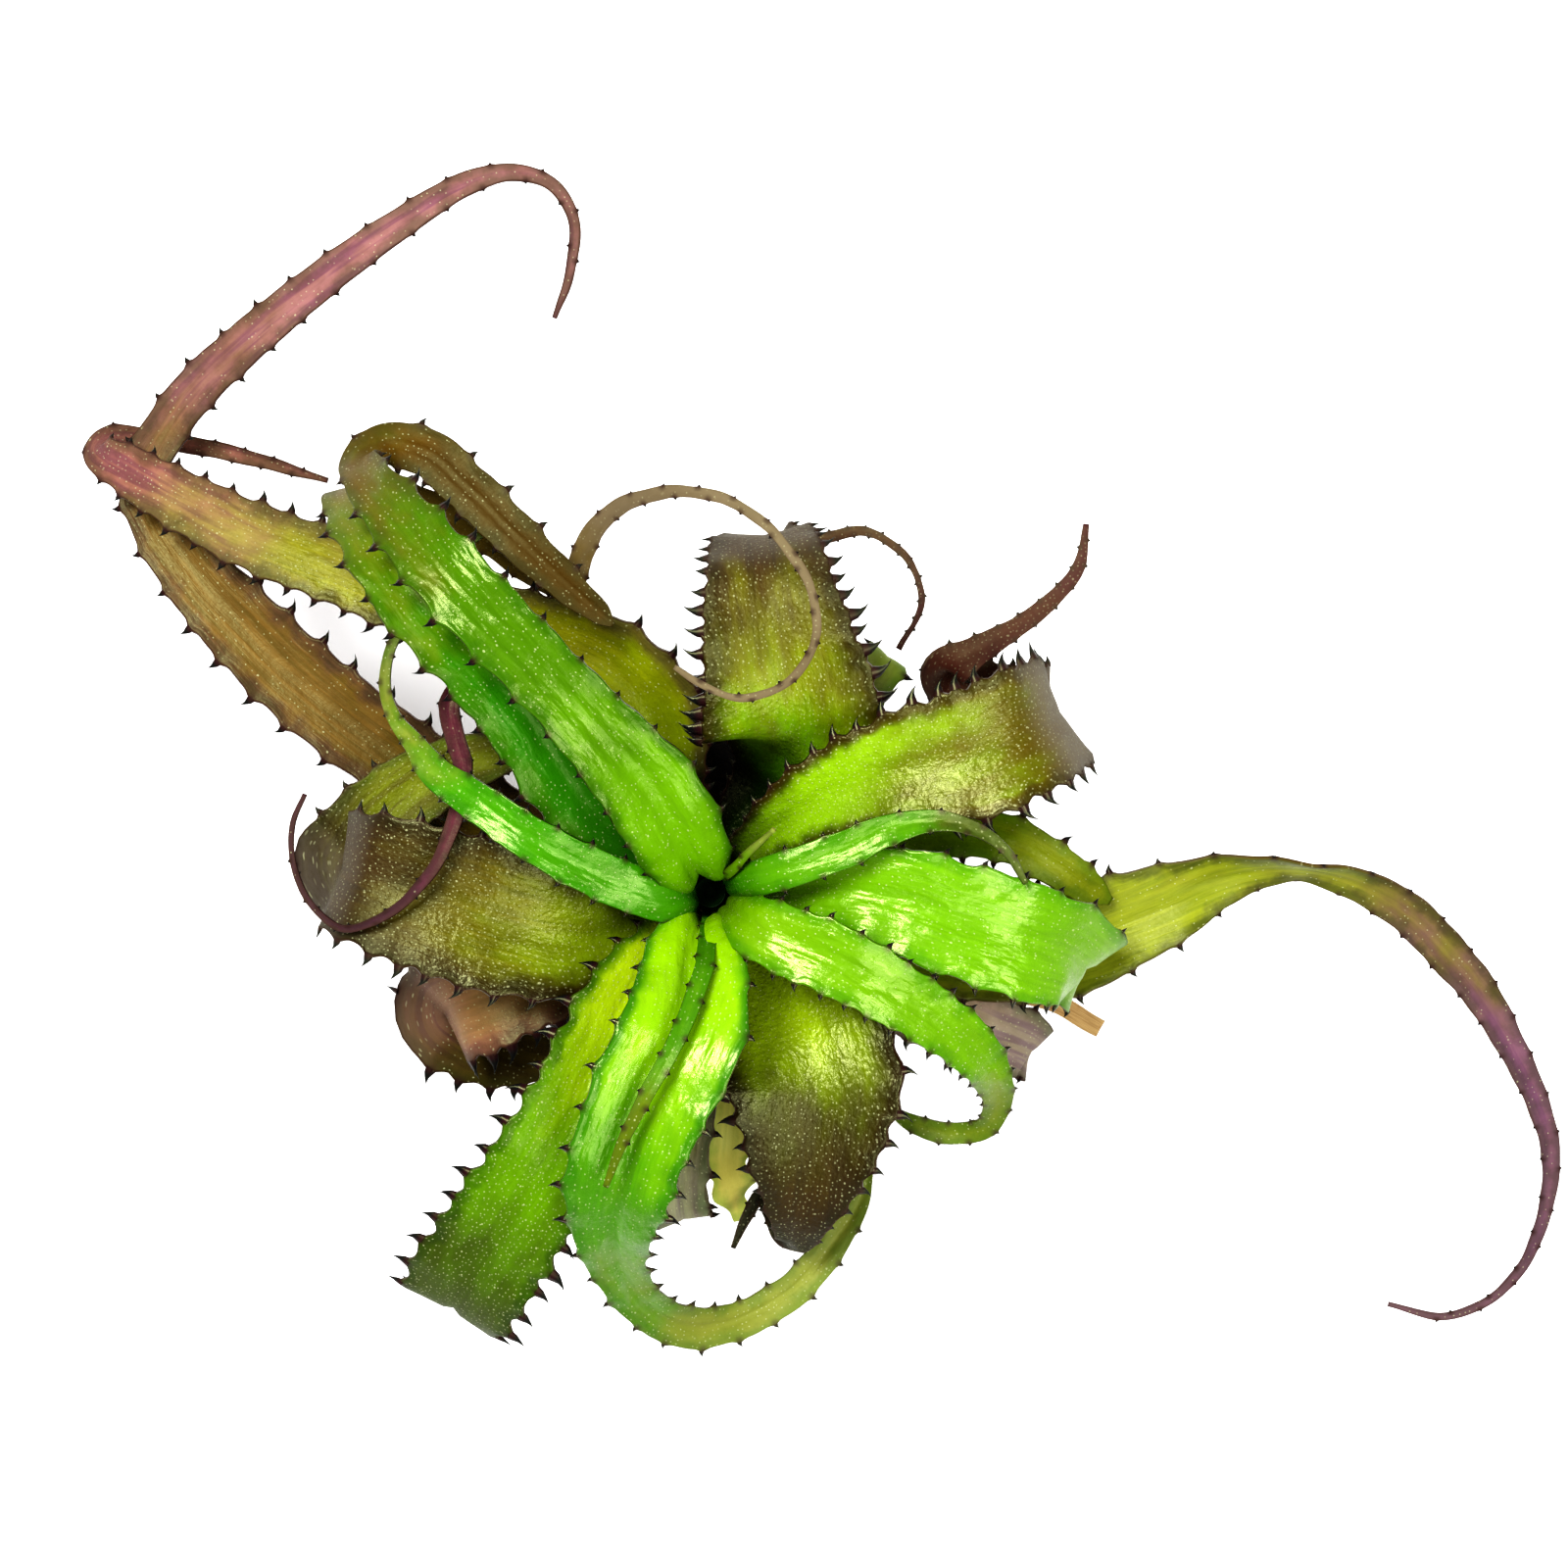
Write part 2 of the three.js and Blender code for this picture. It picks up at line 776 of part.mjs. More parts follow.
function makeLeaf(leaf, seed) {
  const random = makeRandom(seed);
  const trace = traceLeaf(leaf);
  const { rows, spined } = rowLengths(leaf, trace, random);
  const widest = Math.max(...trace.samples.map((s) => s.halfWidth));
  const vertices = [];
  const faces = [];

  // Six corners in each row: left, middle and right, above and below.
  rows.forEach((length, row) => {
    const end = row === 0 || row === rows.length - 1;
    const shift = end ? 0 : leaf.pitch * 0.16;
    [1, 0, -1].forEach((side) => {
      const s = sampleAt(trace, length + side * shift);
      const fade = (1 - s.part) ** 2;
      const channel = s.halfWidth * (CHANNEL_AT_TIP + (CHANNEL_AT_BASE - CHANNEL_AT_TIP) * fade);
      const thickness = side === 0 ? BLADE_THICKNESS : MARGIN_THICKNESS;
      const middle = s.point.clone();
      middle.addScaledVector(s.across, side * s.halfWidth);
      middle.addScaledVector(s.face, Math.abs(side) * channel);
      vertices.push(middle.clone().addScaledVector(s.face, thickness / 2));
      vertices.push(middle.clone().addScaledVector(s.face, -thickness / 2));
    });
  });

  const quad = (a, b, c, d) => faces.push([a, b, c], [a, c, d]);
  const above = (row, column) => row * 6 + column * 2;
  const below = (row, column) => above(row, column) + 1;

  for (let row = 0; row < rows.length - 1; row += 1) {
    const next = row + 1;
    for (let column = 0; column < 2; column += 1) {
      const beside = column + 1;
      quad(above(row, column), above(row, beside), above(next, beside), above(next, column));
      quad(below(row, column), below(next, column), below(next, beside), below(row, beside));
    }
    const edges = [
      [above(row, 0), above(next, 0), below(next, 0), below(row, 0)],
      [above(next, 2), above(row, 2), below(row, 2), below(next, 2)],
    ];
    edges.forEach((corners, edge) => {
      if (!spined.includes(row) || leaf.spine === 0) {
        quad(...corners);
        return;
      }
      // A spine is a pyramid on the margin, pointing outwards and a little to the tip.
      const side = edge === 0 ? 1 : -1;
      const s = sampleAt(trace, (rows[row] + rows[next]) / 2 + side * leaf.pitch * 0.16);
      const size = Math.max(0.8, leaf.spine * Math.min(1, s.halfWidth / widest + 0.1));
      const reach = size * (0.75 + 0.35 * random());
      const tip = new THREE.Vector3();
      corners.forEach((corner) => tip.addScaledVector(vertices[corner], 0.25));
      tip.addScaledVector(s.across, side * reach);
      tip.addScaledVector(s.along, reach * (0.2 + 0.25 * random()));
      const apex = vertices.push(tip) - 1;
      corners.forEach((corner, i) => faces.push([corner, corners[(i + 1) % 4], apex]));
    });
  }

  // The two ends.
  const last = rows.length - 1;
  for (let column = 0; column < 2; column += 1) {
    const beside = column + 1;
    quad(above(0, column), below(0, column), below(0, beside), above(0, beside));
    quad(above(last, column), above(last, beside), below(last, beside), below(last, column));
  }

  const geometry = new THREE.BufferGeometry();
  geometry.setAttribute(
    "position",
    new THREE.Float32BufferAttribute(vertices.flatMap((v) => [v.x, v.y, v.z]), 3),
  );
  geometry.setIndex(faces.flat());
  return geometry;
}

addPiece("pot", makePot(), 0x17191b);
addPiece("potting_mix", makeMix(), 0x241a12);
addPiece("stem", makeStem(), 0x6b5a36);

// One colour for each leaf, in the order of the leaves: green in the heart, then olive and brown.
const COLOURS = [
  0x7bd321, 0x86b92a, 0x5fc41c, 0x66d21e, 0x58c41c, 0x55bf1e, 0x4fc023, 0x62d021, 0x3f9e1f,
  0x4fa522, 0x5a2a3c, 0x57491f, 0x6f7d2b, 0x66702a, 0x75832b, 0x6c8a2a, 0x7f8a2e, 0x7c6b34,
  0x6b4034, 0x6e6152, 0x74765c, 0x9fc24a, 0xcdb65a, 0x7d5a44, 0xb0925a,
];
LEAVES.forEach((leaf, i) => addPiece(leaf.name, makeLeaf(leaf, 11 + 17 * i), COLOURS[i]));

export default group;
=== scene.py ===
# %% [markdown]
# # A trailing bromeliad, from the fixed model to the finished plant
# The plant is a neoregelia pendula in a small nursery pot, seen from straight above.
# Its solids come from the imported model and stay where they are. Each cell below adds one
# kind of piece or finish around them, and says why it is made that way.

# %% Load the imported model
import math
import random
from bisect import bisect_left
from collections import namedtuple

import bmesh
import bpy
from mathutils import Matrix, Vector


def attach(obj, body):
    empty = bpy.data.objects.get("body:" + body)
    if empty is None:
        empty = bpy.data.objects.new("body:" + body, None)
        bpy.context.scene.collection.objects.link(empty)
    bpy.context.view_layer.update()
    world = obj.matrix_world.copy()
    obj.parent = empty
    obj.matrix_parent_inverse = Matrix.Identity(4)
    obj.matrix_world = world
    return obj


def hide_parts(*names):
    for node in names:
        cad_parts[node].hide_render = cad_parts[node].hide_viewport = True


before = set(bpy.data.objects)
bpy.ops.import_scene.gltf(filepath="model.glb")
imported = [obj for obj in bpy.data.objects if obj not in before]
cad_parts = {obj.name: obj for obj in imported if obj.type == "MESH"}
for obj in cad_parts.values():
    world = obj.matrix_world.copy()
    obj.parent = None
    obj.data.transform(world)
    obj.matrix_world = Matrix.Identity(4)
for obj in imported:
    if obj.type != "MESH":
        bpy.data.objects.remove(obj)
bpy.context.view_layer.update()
print("Nodes in the packed model:", len(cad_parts))

# %% [markdown]
# ## Units and small helpers
# Leaves and pots are measured in millimetres, and Blender works in metres. One constant turns
# one into the other. Three helpers limit a number, step it softly and mix two of them. One more
# turns a finished bmesh into an object, and the last one scales it and lets it ride on the plant.

# %% Helpers for all pieces
MM = 0.001


def limit(value, high=1.0):
    return min(high, max(0.0, value))


def smooth_step(low, high, value):
    share = limit((value - low) / (high - low))
    return share * share * (3 - 2 * share)


def mix(a, b, share):
    return a + (b - a) * share


def make_object(name, bm, smooth=False):
    """Turns a finished bmesh into an object of the scene."""
    mesh = bpy.data.meshes.new(name)
    for face in bm.faces:
        face.smooth = smooth
    bm.to_mesh(mesh)
    bm.free()
    made = bpy.data.objects.new(name, mesh)
    bpy.context.scene.collection.objects.link(made)
    return made


def place_piece(name, bm, material, node=None, smooth=True):
    """Places a bmesh in mm. It rides on the plant and stands for the solid that it refines."""
    bmesh.ops.scale(bm, vec=(MM, MM, MM), verts=bm.verts)
    piece = make_object(name, bm, smooth)
    piece.data.materials.append(material)
    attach(piece, "root")
    if node:
        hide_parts(node)


# %% [markdown]
# ## The camera
# The plant was photographed from straight above, so the camera looks down along its axis, with
# +X to the right of the picture and +Y to its top. It hangs close enough that the tails, which
# lie lower, look a little smaller. That is why its height matters as much as its lens.

# %% Camera over the rosette
VIEW_X = 15.0
VIEW_Y = 22.0
VIEW_HEIGHT = 820.0
LENS_MM = 81.9
SENSOR_MM = 36.0

camera_data = bpy.data.cameras.new("camera_from_above")
camera_data.lens = LENS_MM
camera_data.sensor_width = SENSOR_MM
camera_data.clip_start = 0.01
camera_data.clip_end = 20
camera = bpy.data.objects.new("camera_from_above", camera_data)
camera.location = (VIEW_X * MM, VIEW_Y * MM, VIEW_HEIGHT * MM)
bpy.context.scene.collection.objects.link(camera)
bpy.context.scene.camera = camera
print("Camera height in metres:", camera.location.z)

# %% [markdown]
# ## Colours as they are named
# Leaf colours are easier to judge as the usual hex numbers. Shaders want linear light, so a
# helper turns one into the other.

# %% Colours


def tint(code):
    """The linear colour of a hex number such as 0x7BD321."""
    channels = [(code >> shift & 255) / 255 for shift in (16, 8, 0)]
    linear = [c / 12.92 if c <= 0.04045 else ((c + 0.055) / 1.055) ** 2.4 for c in channels]
    return (*linear, 1.0)


print("Bright leaf in linear light:", [round(c, 3) for c in tint(0x7BD321)])

# %% [markdown]
# ## Building shaders from small parts
# A material is a net of nodes. The helper class below places a node, sets its values and joins
# it to others by name, so that each finish further down reads as a short recipe. It can work
# in a material or in a shader node group, because both hold a node tree.

# %% A small net builder


class Net:
    """Adds nodes to a tree. A value that is a socket is linked, any other is set."""

    def __init__(self, tree):
        self.tree = tree

    def add(self, kind, values=None, **settings):
        node = self.tree.nodes.new(kind)
        for key, value in settings.items():
            setattr(node, key, value)
        for key, value in (values or {}).items():
            self.give(node.inputs[key], value)
        return node

    def give(self, socket, value):
        if isinstance(value, bpy.types.NodeSocket):
            self.tree.links.new(value, socket)
        else:
            socket.default_value = value

    def maths(self, operation, first, *others):
        """One operation on all the values in turn."""
        for other in others:
            node = self.add("ShaderNodeMath", {0: first, 1: other}, operation=operation)
            first = node.outputs[0]
        return first

    def times(self, *values):
        return self.maths("MULTIPLY", *values)

    def plus(self, *values):
        return self.maths("ADD", *values)

    def sway(self, value, noise, width):
        """A value that noise pushes to and fro, by half the width each way."""
        return self.plus(value, self.times(self.maths("SUBTRACT", noise, 0.5), width))

    def blend(self, share, a, b, way="MIX"):
        """Mixes two colours. The node keeps its colour sockets behind those for numbers."""
        node = self.add("ShaderNodeMix", data_type="RGBA", blend_type=way)
        for place, value in ((0, share), (6, a), (7, b)):
            self.give(node.inputs[place], value)
        return node.outputs[2]

    def ramp(self, value, low, high, out_low=0.0, out_high=1.0):
        """A soft step from out_low to out_high as the value goes from low to high."""
        values = {0: value, 1: low, 2: high, 3: out_low, 4: out_high}
        node = self.add("ShaderNodeMapRange", values, interpolation_type="SMOOTHSTEP")
        return node.outputs[0]

    def fade(self, value, rest):
        """1 where the value is 0, falling softly to the rest where it is 1."""
        return self.ramp(value, 0.0, 1.0, 1.0, rest)

    def shaded(self, share, colour, parts):
        """A colour taken by a share towards these parts of its red, green and blue."""
        return self.blend(share, colour, (*parts, 1), "MULTIPLY")

    def attribute(self, name, output="Fac"):
        return self.add("ShaderNodeAttribute", attribute_name=name).outputs[output]

    def place(self):
        """The place on the plant in metres, and its height."""
        place = self.add("ShaderNodeTexCoord").outputs["Object"]
        return place, self.add("ShaderNodeSeparateXYZ", {0: place}).outputs["Z"]

    def stretched(self, vector, scale):
        values = {"Vector": vector, "Scale": scale}
        return self.add("ShaderNodeMapping", values).outputs[0]

    def noise(self, vector, scale, detail=2.0, roughness=0.5):
        """Noise of one scale, or with a scale of its own along each axis."""
        if isinstance(scale, tuple):
            vector, scale = self.stretched(vector, scale), 1.0
        values = {"Vector": vector, "Scale": scale, "Detail": detail, "Roughness": roughness}
        return self.add("ShaderNodeTexNoise", values).outputs[0]


print("Net builder ready")

# %% [markdown]
# A shared effect becomes a node group with named sockets. A material keeps its own shader, whose
# constant values are set right on it, and colour, roughness and bump are joined to it in one go.

# %% Groups and materials


def new_group(name, inputs, outputs):
    """A shader node group with named sockets: (name, kind, default value)."""
    tree = bpy.data.node_groups.new(name, "ShaderNodeTree")
    for label, kind, value in inputs:
        socket = tree.interface.new_socket(label, in_out="INPUT", socket_type="NodeSocket" + kind)
        socket.default_value = value
    for label, kind in outputs:
        tree.interface.new_socket(label, in_out="OUTPUT", socket_type="NodeSocket" + kind)
    return tree, tree.nodes.new("NodeGroupInput"), tree.nodes.new("NodeGroupOutput")


def new_material(name, **fixed):
    """A material with its shader's constant values set on the shader's own sockets."""
    material = bpy.data.materials.new(name)
    material.use_nodes = True
    shader = material.node_tree.nodes["Principled BSDF"]
    for key, value in fixed.items():
        shader.inputs[key.replace("_", " ")].default_value = value
    return material, Net(material.node_tree), shader


def dress(net, shader, colour, roughness, height, strength, depth_mm):
    """Joins colour, roughness and a bump of some depth to a shader."""
    values = {"Height": height, "Strength": strength, "Distance": depth_mm * MM}
    bump = net.add("ShaderNodeBump", values)
    net.give(shader.inputs["Base Color"], colour)
    net.give(shader.inputs["Roughness"], roughness)
    net.give(shader.inputs["Normal"], bump.outputs["Normal"])


print("Groups and materials can be made")

# %% [markdown]
# ## The skin of a leaf
# A living leaf isn't one colour. Its skin could be painted on an image for each leaf, but nodes
# need no picture, and all leaves share the same effects in different amounts, so the skin is
# one node group. The blade mesh brings its own measures along as attributes: millimetres across
# and along the leaf, the share of its length, the distance from the margin, how near a spine
# is, how steeply the blade hangs, and which side is the underside.

# %% Node group: leaf skin
FLECK_SPACING_MM = 1.1
VEIN_SPACING_MM = 0.9
SKIN_DEPTH = 0.5
ANY_GREEN = 0x5FB82A
SKIN_COLOURS = ("Heart", "Blade", "Tail", "Under", "Far")
SKIN_AMOUNTS = {
    "Heart End": 0.3, "Tail Start": 0.7, "Far Start": 0.6, "Flecks": 0.5, "Veins": 0.5,
    "Puckers": 0.25, "Scurf": 0.5, "Clouds": 0.35, "Buckles": 0.3, "Dullness": 0.34,
    "Rim Width": 5.0, "Base Shade": 8.0,
}

skin_inputs = [(label, "Color", tint(ANY_GREEN)) for label in SKIN_COLOURS]
skin_inputs += [(label, "Float", value) for label, value in SKIN_AMOUNTS.items()]
skin_outputs = [("Color", "Color"), ("Roughness", "Float"), ("Height", "Float")]
skin_tree, skin_in, skin_out = new_group("leaf skin", skin_inputs, skin_outputs)
net = Net(skin_tree)
amount = skin_in.outputs

blade_mm = net.attribute("blade_mm", "Vector")
along, edge_mm, thorn, steep, under = map(
    net.attribute, ("along", "edge_mm", "thorn", "steep", "under")
)

print("Leaf skin has colours and amounts:", len(skin_inputs))

# %% [markdown]
# The heart of a leaf is bright yellow green, the blade turns olive, the tail brown, and its far
# end purple in long streaks. Large clouds push each change of colour to and fro, so that none
# has a straight front.

# %% From heart to tail
cloud = net.noise(blade_mm, (0.10, 0.045, 0.1), 3.0, 0.6)
wavering = net.sway(along, cloud, 0.35)


def front(start, width):
    """Softly from 0 to 1 along the leaf, behind a start."""
    return net.ramp(wavering, start, net.plus(start, width))


heart_end = amount["Heart End"]
# Painted shade: near the margins the heart gives way to the blade colour sooner, for the rounded
# foot of the blade.
heart_edge_shade = net.times(net.ramp(edge_mm, 0.0, 2.6, 1.0, 0.0), heart_end, 0.55)
heart_share = net.ramp(net.plus(wavering, heart_edge_shade), net.times(heart_end, 0.3), heart_end)
tail_share = front(amount["Tail Start"], 0.25)
far_share = front(amount["Far Start"], 0.2)
colour = net.blend(heart_share, amount["Heart"], amount["Blade"])
colour = net.blend(tail_share, colour, amount["Tail"])
colour = net.blend(far_share, colour, amount["Far"])

streak = net.ramp(net.noise(blade_mm, (0.42, 0.028, 1.0), 3.0, 0.6), 0.46, 0.6)
streak = net.times(streak, tail_share, amount["Clouds"], 0.7)
colour = net.shaded(streak, colour, (0.5, 0.34, 0.72))

print("Nodes after the colours along the leaf:", len(skin_tree.nodes))

# %% [markdown]
# Towards the margins an olive blade is browner than along its middle, and a little darker.
# Every blade is also painted darker green near its margins, as painted shade for its rounded
# cross-section. The underside has one colour of its own, which takes the far colour further
# out. Blotches dim both: partly the leaf's own mottling, partly painted shade.

# %% Margins and underside
uneven = net.noise(blade_mm, (0.16, 0.16, 1.0), 4.0, 0.6)
from_rim = net.sway(edge_mm, uneven, 7.0)
rim_width = amount["Rim Width"]
rim_share = net.times(
    net.ramp(from_rim, net.times(rim_width, 0.15), rim_width, 1.0, 0.0),
    net.ramp(amount["Clouds"], 0.05, 0.8, 0.0, 0.85),
    net.fade(far_share, 0.5),
)
rim = net.blend(far_share, amount["Tail"], amount["Far"])
rim = net.shaded(1.0, rim, (0.62, 0.5, 0.6))
colour = net.blend(rim_share, colour, rim)
# Painted shade: every blade is darker green towards its margins, for its rounded cross-section.
painted_edge_shade = net.ramp(from_rim, 0.2, 3.2, 0.75, 0.0)
colour = net.shaded(painted_edge_shade, colour, (0.5, 0.72, 0.5))

under_far_share = front(net.plus(amount["Far Start"], 0.2), 0.15)
under_skin = net.blend(under_far_share, amount["Under"], amount["Far"])
under_skin = net.blend(net.times(rim_share, 0.8), under_skin, rim)
colour = net.blend(under, colour, under_skin)

# Blotches are partly the leaf's own mottling and partly painted shade: a fixed share darkens every
# leaf.
blotch_and_shade = net.ramp(net.noise(blade_mm, (0.22, 0.12, 0.2), 4.0, 0.65), 0.3, 0.7)
blotch_and_shade_share = net.plus(net.times(amount["Clouds"], 0.45), 0.18)
colour = net.shaded(net.times(blotch_and_shade, blotch_and_shade_share), colour, (0.62, 0.6, 0.5))

print("Nodes after margins and underside:", len(skin_tree.nodes))

# %% [markdown]
# Veins are long thin streaks, lighter and darker by turns. Over them lie pale flecks of scurf,
# about half a millimetre wide. They sit in some of the cells of a Voronoi pattern: many fine
# ones and a few larger ones.

# %% Veins and flecks
vein = net.noise(blade_mm, (1 / VEIN_SPACING_MM, 0.035, 1.0), 3.0, 0.6)
vein_light = net.times(
    net.ramp(vein, 0.35, 0.65, -1.0, 1.0),
    amount["Veins"],
    net.ramp(heart_share, 0.0, 1.0, 0.3, 1.0),
    net.fade(tail_share, 0.35),
    net.fade(under, 0.35),
)
lighter = net.times(net.ramp(vein_light, 0.0, 1.0), 0.55)
colour = net.shaded(lighter, colour, (1.35, 1.3, 1.25))
darker = net.times(net.ramp(vein_light, 0.0, -1.0), 0.5)
colour = net.shaded(darker, colour, (0.7, 0.78, 0.6))


def flecks(spacing, radius, share):
    """Spots of a radius in mm, one in some of the cells of a spacing in mm."""
    scale = (1.1 / spacing, 0.9 / spacing, 1)
    values = {"Vector": net.stretched(blade_mm, scale), "Scale": 1.0, "Randomness": 0.9}
    cells = net.add("ShaderNodeTexVoronoi", values, voronoi_dimensions="2D").outputs
    spot = net.ramp(cells["Distance"], 0.5 * radius / spacing, radius / spacing, 1.0, 0.0)
    chance = net.add("ShaderNodeSeparateColor", {0: cells["Color"]}).outputs
    there = net.maths("LESS_THAN", chance[0], share)
    return net.times(spot, there, net.ramp(chance[1], 0.0, 1.0, 0.35, 1.0))


fine = flecks(FLECK_SPACING_MM, 0.2, amount["Flecks"])
coarse = flecks(2.4 * FLECK_SPACING_MM, 0.28, net.times(amount["Flecks"], 0.3))
fleck = net.maths("MAXIMUM", fine, coarse)
fleck = net.times(fleck, net.maths("SUBTRACT", 1.0, thorn), net.fade(under, 0.5))
pale = net.blend(0.4, tint(0xF2F6C0), colour)
colour = net.blend(net.times(fleck, 0.75), colour, pale)

print("Nodes after veins and flecks:", len(skin_tree.nodes))

# %% [markdown]
# Where a blade turns down it greys: partly the real scurf of fine scales, partly a painted
# sheen on the steeply hanging parts. Deep in the rosette the foot of each leaf is painted almost
# black, as painted shade. A thin dark line runs along the margin, and the spines are nearly black.

# %% Scurf and sheen, foot shade and spines
dust = net.noise(blade_mm, (0.9, 1.6, 1.0), 5.0, 0.7)
# The grey on steep parts is partly real scurf and partly painted sheen.
scurf = net.times(steep, net.ramp(dust, 0.25, 0.6, 0.45, 1.0), amount["Scurf"])
colour = net.blend(net.times(scurf, 0.75), colour, tint(0x8A8078))

length_mm = net.add("ShaderNodeSeparateXYZ", {0: blade_mm}).outputs["Y"]
length_mm = net.plus(length_mm, net.times(uneven, 3.0))
shade_end = amount["Base Shade"]
# Painted shade: the foot of each leaf, up to the Base Shade length in mm, is darkened almost to
# black, as deep in the rosette.
painted_foot_shade = net.ramp(length_mm, net.times(shade_end, 0.6), shade_end, 1.0, 0.0)
colour = net.shaded(painted_foot_shade, colour, (0.05, 0.07, 0.04))

line = net.times(net.ramp(edge_mm, 0.05, 0.45, 0.75, 0.0), amount["Clouds"])
colour = net.blend(line, colour, tint(0x4A2A22))
colour = net.blend(net.ramp(thorn, 0.02, 0.5), colour, tint(0x3A1820))
colour = net.blend(net.ramp(thorn, 0.45, 0.9), colour, tint(0x15141A))
colour = net.shaded(1.0, colour, (SKIN_DEPTH, SKIN_DEPTH, SKIN_DEPTH))
net.give(skin_out.inputs["Color"], colour)

print("Nodes after dust and spines:", len(skin_tree.nodes))

# %% [markdown]
# Dust, tails and undersides are dull. The older blades are puckered like orange peel, and the
# young glossy ones are buckled and creased, which breaks up the light on them. Veins and flecks
# stand out a little. All heights are in millimetres.

# %% Gloss and height
rough = net.plus(
    net.ramp(dust, 0.3, 0.7, -0.05, 0.07),
    amount["Dullness"],
    net.times(scurf, 0.3),
    net.times(net.maths("MAXIMUM", tail_share, under), 0.3),
)
net.give(skin_out.inputs["Roughness"], rough)

pucker = net.noise(blade_mm, (1.1, 0.8, 1.0))
buckle = net.noise(blade_mm, (0.13, 0.07, 1.0))
crease = net.noise(blade_mm, (0.38, 0.12, 1.0), 2.0, 0.55)
buckles = net.times(amount["Buckles"], net.fade(tail_share, 0.3))
height = net.plus(
    net.times(pucker, amount["Puckers"], 0.34),
    net.times(buckle, buckles),
    net.times(crease, buckles, 0.5),
)
height = net.plus(
    net.times(height, net.fade(under, 0.3)),
    net.times(vein_light, 0.022),
    net.times(fleck, 0.05),
    net.times(net.noise(blade_mm, 3.2), 0.025),
)
net.give(skin_out.inputs["Height"], height)
print("Leaf skin has", len(skin_tree.nodes), "nodes")

# %% [markdown]
# ## The colours of each leaf
# Young leaves in the heart are bright green, the big outer blades are olive with brown tails,
# and the oldest have gone purple, grey or yellow. Each leaf gets a short entry: the colours of
# its heart, blade, tail, underside and far end, where along its length the heart ends and the
# tail starts, its kind if it has one, and the amounts in which it differs from that kind.

# %% Skin of every leaf
USUAL_GLOSS = 0.2
SKIN_BUMP = 0.9
GLARE_TINT = (0.95, 1.0, 0.52, 1)
YOUNG = dict(flecks=0.45, clouds=0.14, buckles=1.2, dullness=0.22, gloss=0.48)
OLIVE = dict(
    flecks=0.8, clouds=0.9, buckles=0.7, dullness=0.28, gloss=0.38, puckers=0.9, scurf=0.6
)
TRAILING = dict(
    flecks=0.2, clouds=0.95, buckles=0.4, dullness=0.36, veins=0.8, puckers=0.3, scurf=0.15,
    rim_width=4, far_start=0.5,
)


def skin(colours, heart_end, tail_start, kind=None, **own):
    """The material of a leaf. Amounts that neither it nor its kind names are the usual ones."""
    amounts = {"heart_end": heart_end, "tail_start": tail_start, **(kind or {}), **own}
    gloss = amounts.get("gloss", USUAL_GLOSS)
    material, net, shader = new_material(
        "leaf_skin", Specular_IOR_Level=gloss, Specular_Tint=GLARE_TINT
    )
    group = net.add("ShaderNodeGroup", node_tree=skin_tree)
    for label, code in zip(SKIN_COLOURS, colours):
        group.inputs[label].default_value = tint(code)
    for label, usual in SKIN_AMOUNTS.items():
        amount = amounts.get(label.lower().replace(" ", "_"), usual)
        group.inputs[label].default_value = amount
    dress(net, shader, *group.outputs, SKIN_BUMP, depth_mm=1.0)
    return material


